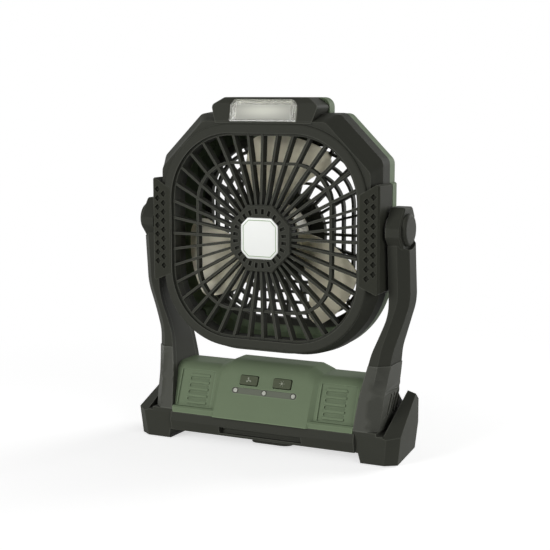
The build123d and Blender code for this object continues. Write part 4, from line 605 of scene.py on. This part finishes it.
def smooth(obj, degrees=30):
    pick(obj)
    bpy.ops.object.shade_smooth_by_angle(angle=math.radians(degrees))


def dress(obj, recipe, body):
    obj.data.materials.clear()
    obj.data.materials.append(made_material(recipe))
    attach(obj, body)


def laid_out(name, shape, places):
    """A copy of the shape at each place, joined to one piece, in place of the shape itself"""
    copies = []
    for place in places:
        one = own_copy(shape)
        settle(one, place)
        copies.append(one)
    bpy.data.objects.remove(shape)
    return joined(name, copies)


def on_face(foot, lean, x, height, sunk=0.0):
    """Transform to the spot at x and height on a face that leans back through a foot point, with
    +Y up the face and +Z out of it, and sunk into it"""
    rise = height - foot.z
    spot = foot + Vector((x, rise * math.tan(lean), rise))
    return (Matrix.Translation(spot) @ Matrix.Rotation(math.pi / 2 - lean, 4, "X")
            @ Matrix.Translation((0.0, 0.0, -sunk)))


# ---------------------------------------------------------------- pieces

class FAN_OT_finishes(bpy.types.Operator):
    """Gives each solid of the fan the finish of its material"""
    bl_idname = "fan.finishes"
    bl_label = "Finishes"

    def execute(self, context):
        for recipe, nodes in FINISHES:
            material = made_material(recipe)
            for name in nodes:
                for place in frame["nodes"][name].material_slots:
                    place.material = material
        return {"FINISHED"}


class FAN_OT_badge(bpy.types.Operator):
    """White plate with cut corners and a fine painted line, in the middle of the grille"""
    bl_idname = "fan.badge"
    bl_label = "Badge plate"

    def execute(self, context):
        sizes = context.scene.fan_sizes
        low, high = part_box("hub_badge")
        centre, half, front = (low + high) / 2, (high.x - low.x) / 2, low.y
        soft = 0.9 * MM  # rounding of the outline's eight corners
        border = 1.5 * MM  # from the outline to the line
        groove, wall = 0.15 * MM, 0.08 * MM  # depth of the line's groove, width of its slopes

        def upright(a, b):
            return abs(a.x - b.x) < TINY and abs(a.z - b.z) < TINY

        def on_rim(p):
            """True near the plate's outline seen from the front"""
            u, v = abs(p.x - centre.x), abs(p.z - centre.z)
            return max(u - half, v - half, u + v - 2 * half + sizes.badge_corner) > -soft

        deselect()
        bpy.ops.mesh.primitive_cube_add(size=1.0, location=centre, scale=high - low)
        plate = named("badge_plate")
        fix_place()
        bpy.ops.object.mode_set(mode="EDIT")
        select_edges(plate, upright)
        bpy.ops.mesh.bevel(offset=sizes.badge_corner, offset_type="OFFSET", segments=1)
        select_edges(plate, upright)
        bpy.ops.mesh.bevel(offset=soft, offset_type="OFFSET", segments=3)
        # the painted groove
        select_faces(plate, lambda c, n: n.y < -0.9)
        bpy.ops.mesh.inset(thickness=border)
        bpy.ops.mesh.inset(thickness=wall, depth=-groove)
        select_faces(plate, lambda c, n: n.y < -0.9 and c.y > front + groove * 0.6)
        bpy.ops.mesh.inset(thickness=sizes.badge_line)
        bpy.ops.mesh.inset(thickness=wall, depth=groove)
        # rounded front edge
        select_edges(plate, lambda a, b: max(a.y, b.y) < front + TINY and on_rim(a) and on_rim(b))
        bpy.ops.mesh.bevel(offset=sizes.badge_edge, segments=3)
        bpy.ops.object.mode_set(mode="OBJECT")
        smooth(plate)
        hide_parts("hub_badge")
        dress(plate, badge_acrylic, "head")
        plate.data.materials.append(made_material(badge_paint))
        for face in plate.data.polygons:
            if abs(face.center.y - front - groove) < groove / 3 and face.normal.y < -0.9:
                face.material_index = 1
        return {"FINISHED"}


def screw_shape(sizes, shank):
    """Cross-recess pan head screw standing on its tip, head up, top of the head at z 0"""
    radius, height = sizes.screw_head, sizes.screw_head_height
    deselect()
    bpy.ops.mesh.primitive_cylinder_add(vertices=32, radius=radius, depth=height,
                                        location=(0, 0, -height / 2))
    head = named("screw_head")
    fix_place()
    bpy.ops.object.mode_set(mode="EDIT")
    select_edges(head, lambda a, b: min(a.z, b.z) > -TINY)
    bpy.ops.mesh.bevel(offset=height * 0.42, segments=4, profile=0.6)
    bpy.ops.object.mode_set(mode="OBJECT")
    for turn in (0, 90):
        bpy.ops.mesh.primitive_cube_add(size=1.0, rotation=(0, 0, math.radians(turn)))
        slot_cut = named("recess")
        slot_cut.scale = (radius * 1.15, sizes.recess_width, height * 1.1)
        fix_place()
        bpy.ops.object.mode_set(mode="EDIT")
        # the recess narrows towards its bottom
        select_faces(slot_cut, lambda c, n: n.z < -0.9)
        bpy.ops.transform.resize(value=(0.45, 0.45, 1.0), center_override=(0, 0, 0))
        bpy.ops.object.mode_set(mode="OBJECT")
        pick(head)
        cut = head.modifiers.new("Recess", "BOOLEAN")
        cut.operation = "DIFFERENCE"
        cut.solver = "EXACT"
        cut.object = slot_cut
        bpy.ops.object.modifier_apply(modifier=cut.name)
        bpy.data.objects.remove(slot_cut)
    deselect()
    bpy.ops.mesh.primitive_cylinder_add(vertices=20, radius=sizes.shank_radius, depth=shank,
                                        location=(0, 0, -height - shank / 2))
    body = named("screw_shank")
    fix_place()
    bpy.ops.object.mode_set(mode="EDIT")
    # blunt point
    select_faces(body, lambda c, n: n.z < -0.9)
    bpy.ops.mesh.inset(thickness=0.5 * MM, depth=-0.3 * MM)
    bpy.ops.object.mode_set(mode="OBJECT")
    return joined("screw", [head, body])


class FAN_OT_screws(bpy.types.Operator):
    """Cross-recess screws of the base, the arms, the head and the motor"""
    bl_idname = "fan.screws"
    bl_label = "Screws"

    def execute(self, context):
        sizes = context.scene.fan_sizes
        in_base = Matrix.Rotation(math.pi, 4, "X")
        in_head = Matrix.Rotation(-math.pi / 2, 4, "X")
        axis = Vector((0, 0, HEAD_Z))
        head_screws = [axis + Vector((side * x, 0, z)) * MM
                       for side in (1, -1) for x, z in ((67.2, 66.6), (64.4, -64.4))]
        motor_screws = [axis + Vector((math.cos(angle), 0, math.sin(angle))) * 14.0 * MM
                        for angle in map(math.radians, (90, 210, 330))]
        for node, body, turn, places in (
                ("chassis_screws", "base", in_base, self.corners(62.0, 21.5)),
                ("arm_screws", "base", in_base, self.corners(83.5, 18.0)),
                ("head_screws", "head", in_head, head_screws),
                ("motor_screws", "head", in_head, motor_screws)):
            low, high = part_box(node)
            if body == "base":
                reach, seat = high.z - low.z, Vector((0, 0, low.z))
            else:
                reach, seat = high.y - low.y, Vector((0, high.y, 0))
            screw = screw_shape(sizes, reach - sizes.screw_head_height)
            # each screw has stopped at an angle of its own
            stops = [Matrix.Rotation(math.radians(17 + 41 * count), 4, "Z")
                     for count in range(len(places))]
            piece = laid_out(node + "_cross", screw, [
                Matrix.Translation(place + seat) @ turn @ stop for place, stop in zip(places, stops)])
            smooth(piece)
            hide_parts(node)
            dress(piece, zinc_steel, body)
        return {"FINISHED"}

    @staticmethod
    def corners(across, deep):
        """Four screws under the base, at these distances from its middle in millimetres"""
        return [Vector((x, y, 0)) * MM for x in (-across, across) for y in (-deep, deep)]


class FAN_OT_button_symbols(bpy.types.Operator):
    """Raised symbols on the two push buttons: a plain three-leaf fan and a plain lamp"""
    bl_idname = "fan.button_symbols"
    bl_label = "Button symbols"

    def execute(self, context):
        sizes = context.scene.fan_sizes
        button_proud = 1.2 * MM
        buried = 0.2 * MM  # how far a symbol goes into its button
        height = sizes.mark_height + buried
        leaf = self.raised("leaf", height, 24, 1.0 * MM, scale=(1.0, 0.62, 1.0),
                           location=(1.35 * MM, 0.25 * MM, 0))
        leaves = laid_out("leaves", leaf, self.turns(90, 120))
        dot = self.raised("dot", height, 20, 0.4 * MM)
        fan = joined("fan_symbol", [leaves, dot])
        disc = self.raised("disc", height, 28, 0.95 * MM)
        ray = self.raised("ray", height, 4, 0.5 * MM, scale=(0.8, 0.34, 1.0),
                          location=(1.85 * MM, 0, 0))
        rays = laid_out("rays", ray, self.turns(0, 60))
        lamp = joined("lamp_symbol", [disc, rays])
        for piece, x, body in ((fan, -BUTTON_X, "fan_button_body"),
                               (lamp, BUTTON_X, "lamp_button_body")):
            settle(piece, on_face(PANEL_SPOT, PANEL_LEAN, x, PANEL_SPOT.z, buried - button_proud))
            smooth(piece)
            dress(piece, symbol_print, body)
        return {"FINISHED"}

    @staticmethod
    def turns(first, step):
        """Turns about the middle of a symbol, from the first angle round in steps, in degrees"""
        return [Matrix.Rotation(math.radians(angle), 4, "Z")
                for angle in range(first, first + 360, step)]

    @staticmethod
    def raised(name, height, corners, reach, scale=(1.0, 1.0, 1.0), location=(0, 0, 0)):
        """A flat outline, scaled and placed, raised from z 0 with its upper edge rounded. Four corners
        make a square whose side is twice the reach"""
        deselect()
        if corners == 4:
            bpy.ops.mesh.primitive_plane_add(size=2 * reach)
        else:
            bpy.ops.mesh.primitive_circle_add(vertices=corners, radius=reach, fill_type="NGON")
        shape = named(name)
        shape.scale = scale
        shape.location = location
        fix_place()
        bpy.ops.object.mode_set(mode="EDIT")
        bpy.ops.mesh.select_all(action="SELECT")
        bpy.ops.mesh.extrude_region_move(TRANSFORM_OT_translate={"value": (0, 0, height)})
        select_edges(shape, lambda a, b: min(a.z, b.z) > height * 0.9)
        bpy.ops.mesh.bevel(offset=0.08 * MM, segments=2)
        bpy.ops.mesh.select_all(action="SELECT")
        bpy.ops.mesh.normals_make_consistent(inside=False)
        bpy.ops.object.mode_set(mode="OBJECT")
        return shape


class FAN_OT_lamp_cover(bpy.types.Operator):
    """Clear cover of the lamp: a raised rim and two end bars round a frosted window"""
    bl_idname = "fan.lamp_cover"
    bl_label = "Lamp cover"

    def execute(self, context):
        sizes = context.scene.fan_sizes
        # the cover lies flat at first, with its front up and its foot towards -Y
        foot, top, end = 1.3 * MM, 17.7 * MM, 27.0 * MM
        front, back = sizes.cover_proud, -1.9 * MM
        middle = (foot + top) / 2
        corner_cut, corner_round = 3.6 * MM, 1.5 * MM
        step, sunk = 0.4 * MM, 0.6 * MM  # slope from the rim down to the window, and its depth
        window_end, window_top = 21.8 * MM, 13.6 * MM
        near, far = 0.6 * MM, 2.2 * MM  # from a bar to the window and to the cover's outline
        bar_in, bar_out = window_end + near, end - far
        bar_low, bar_high = foot + far, window_top - near

        def upright(a, b):
            return abs(a.x - b.x) < TINY and abs(a.y - b.y) < TINY

        def outer(p):
            """True for a corner on the cover's outline, seen from the front"""
            return (abs(p.x) > end - TINY or p.y < foot + TINY or p.y > top - TINY
                    or abs(p.x) + p.y > end + top - corner_cut - 0.7 * MM
                    or abs(p.x) - p.y > end - foot - 1.0 * MM)

        def in_window(c, n):
            return n.z > 0.9 and c.z < front - sunk / 2

        deselect()
        bpy.ops.mesh.primitive_cube_add(
            size=1.0, location=(0, middle, (front + back) / 2),
            scale=(2 * end, top - foot, front - back))
        cover = named("lamp_cover")
        fix_place()
        bpy.ops.object.mode_set(mode="EDIT")
        # cut upper corners, then every corner rounded
        select_edges(cover, lambda a, b: upright(a, b) and a.y > middle)
        bpy.ops.mesh.bevel(offset=corner_cut, offset_type="OFFSET", segments=1)
        select_edges(cover, upright)
        bpy.ops.mesh.bevel(offset=corner_round, offset_type="OFFSET", segments=4)
        # rim, and the window sunk inside it
        select_faces(cover, lambda c, n: n.z > 0.9)
        bpy.ops.mesh.inset(thickness=sizes.cover_rim)
        bpy.ops.mesh.inset(thickness=step, depth=-sunk)
        # the corners' rounding has run out here, so its points fall together
        bpy.ops.mesh.select_all(action="SELECT")
        bpy.ops.mesh.remove_doubles(threshold=0.05 * MM)
        cuts = [((side * x, 0, 0), (1, 0, 0))
                for side in (-1, 1) for x in (window_end, bar_in, bar_out)]
        cuts += [((0, y, 0), (0, 1, 0)) for y in (bar_low, bar_high, window_top)]
        for place, way in cuts:
            select_faces(cover, in_window)
            bpy.ops.mesh.bisect(plane_co=place, plane_no=way)
        # a raised bar at either end of the window
        select_faces(cover, lambda c, n: in_window(c, n) and bar_in < abs(c.x) < bar_out
                     and bar_low < c.y < bar_high)
        bpy.ops.mesh.inset(thickness=0.15 * MM, depth=0.4 * MM)
        # softened outer edge
        select_edges(cover, lambda a, b: min(a.z, b.z) > front - TINY and outer(a) and outer(b))
        bpy.ops.mesh.bevel(offset=0.3 * MM, segments=2)
        bpy.ops.object.mode_set(mode="OBJECT")
        # the frosted window, painted before the cover leaves its flat place
        cover.data.materials.append(made_material(rim_polycarbonate))
        cover.data.materials.append(made_material(window_polycarbonate))
        for face in cover.data.polygons:
            if (abs(face.center.x) < window_end and foot < face.center.y < window_top
                    and abs(face.center.z - front + sunk) < 0.05 * MM):
                face.material_index = 1
        settle(cover, on_face(LAMP_FOOT, LAMP_LEAN, 0.0, LAMP_FOOT.z))
        smooth(cover, 25)
        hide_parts("lamp_lens")
        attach(cover, "head")
        return {"FINISHED"}


class FAN_OT_louvre_bars(bpy.types.Operator):
    """Rounded bars between the grooves of the housing's two side panels"""
    bl_idname = "fan.louvre_bars"
    bl_label = "Louvre bars"

    def execute(self, context):
        sizes = context.scene.fan_sizes
        proud = sizes.bar_proud
        buried = 0.3 * MM  # how far a bar goes into the panel's floor
        floor_depth = 1.0 * MM  # of the panel's floor, which is let into the housing
        panel_x = 57.0 * MM  # from the middle of the housing to the middle of a panel
        first, pitch, count = 30.15 * MM, 4.9 * MM, 5  # the bars' heights above the ground
        deselect()
        bpy.ops.mesh.primitive_cube_add(
            size=1.0, scale=(sizes.bar_length, sizes.bar_width, proud + buried),
            location=(0, 0, (proud - buried) / 2))
        bar = named("louvre_bar")
        fix_place()
        bpy.ops.object.mode_set(mode="EDIT")
        # round ends, then a rounded top
        select_edges(bar, lambda a, b: abs(a.z - b.z) > TINY)
        bpy.ops.mesh.bevel(offset=sizes.bar_width * 0.475, offset_type="OFFSET", segments=5)
        select_edges(bar, lambda a, b: min(a.z, b.z) > proud - TINY)
        bpy.ops.mesh.bevel(offset=0.35 * MM, offset_type="OFFSET", segments=3)
        bpy.ops.object.mode_set(mode="OBJECT")
        piece = laid_out("louvre_bars", bar, [
            on_face(SIDE_FOOT, SIDE_LEAN, x, first + step * pitch, floor_depth)
            for x in (-panel_x, panel_x) for step in range(count)])
        smooth(piece)
        dress(piece, sage_abs, "base")
        return {"FINISHED"}


class FAN_OT_painted_arm_light(bpy.types.Operator):
    """Painted light: a paler skin over the lower front of the two arms, where their faces catch the
    light
    """
    bl_idname = "fan.arm_sleeves"
    bl_label = "Painted arm light"

    def execute(self, context):
        sizes = context.scene.fan_sizes
        edge_back, edge_up = 10.9, 42.7  # how far the arm's front edge leans back over its height
        # the painted light ends above at its top, and behind along the arm's lean
        cuts = (((0, 0, sizes.arm_light_top), (0, 0, 1)),
                ((0, -17.5 * MM, 24.3 * MM), (0, edge_up, -edge_back)))
        arm_lights = []
        for node, side in (("arm_right", 1), ("arm_left", -1)):
            sleeve = own_copy(frame["nodes"][node])
            sleeve.name = node + "_sleeve"
            sleeve.data.materials.clear()
            bpy.ops.object.mode_set(mode="EDIT")
            bpy.ops.mesh.select_all(action="SELECT")
            bpy.ops.mesh.remove_doubles(threshold=TINY)
            for place, way in cuts:
                bpy.ops.mesh.select_all(action="SELECT")
                bpy.ops.mesh.bisect(plane_co=place, plane_no=way, clear_outer=True)
            # only the arm's front and outer faces carry the painted light
            select_faces(sleeve, lambda c, n: n.x * side < -0.5 or n.y > 0.3 or abs(n.z) > 0.9)
            bpy.ops.mesh.delete(type="FACE")
            bpy.ops.object.mode_set(mode="OBJECT")
            skin = sleeve.modifiers.new("Skin", "SOLIDIFY")
            skin.thickness = sizes.arm_light_skin
            skin.offset = 1.0
            skin.use_even_offset = True
            bpy.ops.object.modifier_apply(modifier=skin.name)
            arm_lights.append(sleeve)
        piece = joined("arm_sleeves", arm_lights)
        smooth(piece, 20)
        dress(piece, arm_light_abs, "base")
        return {"FINISHED"}


class FAN_OT_light_rings(bpy.types.Operator):
    """Dark rings round the three indicator lights"""
    bl_idname = "fan.light_rings"
    bl_label = "Light rings"

    def execute(self, context):
        sizes = context.scene.fan_sizes
        height, sunk = 0.6 * MM, 0.35 * MM  # of a ring, and how deep its middle lies in the panel
        deselect()
        bpy.ops.mesh.primitive_cylinder_add(vertices=40, radius=sizes.light_radius + sizes.ring_width,
                                            depth=height)
        ring = named("light_ring")
        bpy.ops.object.mode_set(mode="EDIT")
        select_faces(ring, lambda c, n: n.z > 0.9)
        bpy.ops.mesh.inset(thickness=sizes.ring_width)
        bpy.ops.mesh.inset(thickness=0.05 * MM, depth=-height / 2)
        select_edges(ring, lambda a, b: min(a.z, b.z) > height / 2 - 0.01 * MM)
        bpy.ops.mesh.bevel(offset=0.12 * MM, segments=2)
        bpy.ops.object.mode_set(mode="OBJECT")
        piece = laid_out("light_rings", ring, [
            on_face(PANEL_SPOT, PANEL_LEAN, step * INDICATORS_APART, INDICATORS_Z, sunk)
            for step in (-1, 0, 1)])
        smooth(piece)
        dress(piece, ring_abs, "base")
        return {"FINISHED"}


class FAN_OT_stage(bpy.types.Operator):
    """Pale floor, white surroundings, studio lights and the camera"""
    bl_idname = "fan.stage"
    bl_label = "Stage"

    def execute(self, context):
        scene = context.scene
        scene.view_settings.view_transform = "Standard"
        self.surroundings(scene)
        self.floor()
        for name, place, size, power in STUDIO_LIGHTS:
            deselect()
            bpy.ops.object.light_add(type="AREA", location=place)
            lamp = context.object
            lamp.name = name
            lamp.data.size = size
            lamp.data.energy = power
            aim = STUDIO_AIM - Vector(place)
            lamp.rotation_euler = aim.to_track_quat("-Z", "Y").to_euler()
        deselect()
        bpy.ops.object.camera_add(
            location=CAMERA_PLACE, rotation=(math.pi / 2 - CAMERA_DROP, 0.0, CAMERA_TURN))
        camera = context.object
        camera.data.lens = CAMERA_LENS
        camera.data.sensor_width = 36.0
        camera.data.clip_start = 0.05
        camera.data.clip_end = 50.0
        scene.camera = camera
        return {"FINISHED"}

    @staticmethod
    def seen_directly(tree):
        """1 for rays from the camera and for reflected and refracted rays, else 0"""
        path = add(tree, "ShaderNodeLightPath").outputs
        first = add(tree, "ShaderNodeMath", {
            "operation": "MAXIMUM", 0: path["Is Camera Ray"], 1: path["Is Glossy Ray"]})
        both = add(tree, "ShaderNodeMath", {
            "operation": "MAXIMUM", 0: first.outputs[0], 1: path["Is Transmission Ray"]})
        return both.outputs[0]

    def surroundings(self, scene):
        world = bpy.data.worlds.new("Surroundings")
        scene.world = world
        world.use_nodes = True
        tree = world.node_tree
        tree.nodes.clear()
        level = add(tree, "ShaderNodeMapRange", {
            "Value": self.seen_directly(tree), "To Min": ROOM_LIGHT, "To Max": 1.0})
        light = add(tree, "ShaderNodeBackground", {
            "Color": WHITE, "Strength": level.outputs["Result"]})
        add(tree, "ShaderNodeOutputWorld", {"Surface": light.outputs["Background"]})

    def floor(self):
        deselect()
        bpy.ops.mesh.primitive_circle_add(vertices=96, radius=FLOOR_RADIUS, fill_type="NGON",
                                          location=(0, 0, -FLOOR_DROP))
        ground = named("floor")
        material, tree, place = empty_material("Pale floor")
        away = add(tree, "ShaderNodeVectorMath", {"operation": "LENGTH", 0: place})
        far = add(tree, "ShaderNodeMapRange", {
            "Value": away.outputs["Value"], "From Min": FADE_START, "From Max": FADE_END,
            "interpolation_type": "SMOOTHSTEP"})
        seen = self.seen_directly(tree)
        paint = add(tree, "ShaderNodeBsdfDiffuse", {"Color": FLOOR_GREY})
        glow = add(tree, "ShaderNodeEmission", {"Color": WHITE, "Strength": seen})
        lift = add(tree, "ShaderNodeMath", {"operation": "MULTIPLY", 0: seen, 1: FLOOR_LIFT})
        boost = add(tree, "ShaderNodeEmission", {"Color": WHITE, "Strength": lift.outputs[0]})
        near = add(tree, "ShaderNodeAddShader", {0: paint.outputs[0], 1: boost.outputs[0]})
        both = add(tree, "ShaderNodeMixShader", {
            0: far.outputs["Result"], 1: near.outputs[0], 2: glow.outputs[0]})
        # clear from below, so that the fan's underside can be looked at
        under = add(tree, "ShaderNodeNewGeometry").outputs["Backfacing"]
        clear = add(tree, "ShaderNodeBsdfTransparent").outputs[0]
        shown = add(tree, "ShaderNodeMixShader", {0: under, 1: both.outputs[0], 2: clear})
        ground.data.materials.append(finished(material, shown.outputs[0]))


class FAN_PT_panel(bpy.types.Panel):
    """Sidebar list of the fan's details"""
    bl_idname = "FAN_PT_panel"
    bl_label = "Camping fan"
    bl_space_type = "VIEW_3D"
    bl_region_type = "UI"
    bl_category = "Camping fan"

    def draw(self, context):
        for group in (context.scene.fan_sizes, context.scene.fan_colours):
            for key in group.__annotations__:
                self.layout.prop(group, key)
        for step in STEPS:
            self.layout.operator(step.bl_idname)


STEPS = (FAN_OT_finishes, FAN_OT_badge, FAN_OT_screws, FAN_OT_button_symbols, FAN_OT_lamp_cover,
         FAN_OT_light_rings, FAN_OT_louvre_bars, FAN_OT_painted_arm_light, FAN_OT_stage)
CLASSES = (FanColours, FanSizes, *STEPS, FAN_PT_panel)


def register():
    for cls in CLASSES:
        bpy.utils.register_class(cls)
    bpy.types.Scene.fan_colours = PointerProperty(type=FanColours)
    bpy.types.Scene.fan_sizes = PointerProperty(type=FanSizes)


def unregister():
    del bpy.types.Scene.fan_sizes
    del bpy.types.Scene.fan_colours
    for cls in reversed(CLASSES):
        bpy.utils.unregister_class(cls)


def main():
    register()
    bpy.ops.fan.finishes()
    bpy.ops.fan.badge()
    bpy.ops.fan.screws()
    bpy.ops.fan.button_symbols()
    bpy.ops.fan.lamp_cover()
    bpy.ops.fan.light_rings()
    bpy.ops.fan.louvre_bars()
    bpy.ops.fan.arm_sleeves()
    bpy.ops.fan.stage()


if __name__ == "__main__":
    main()
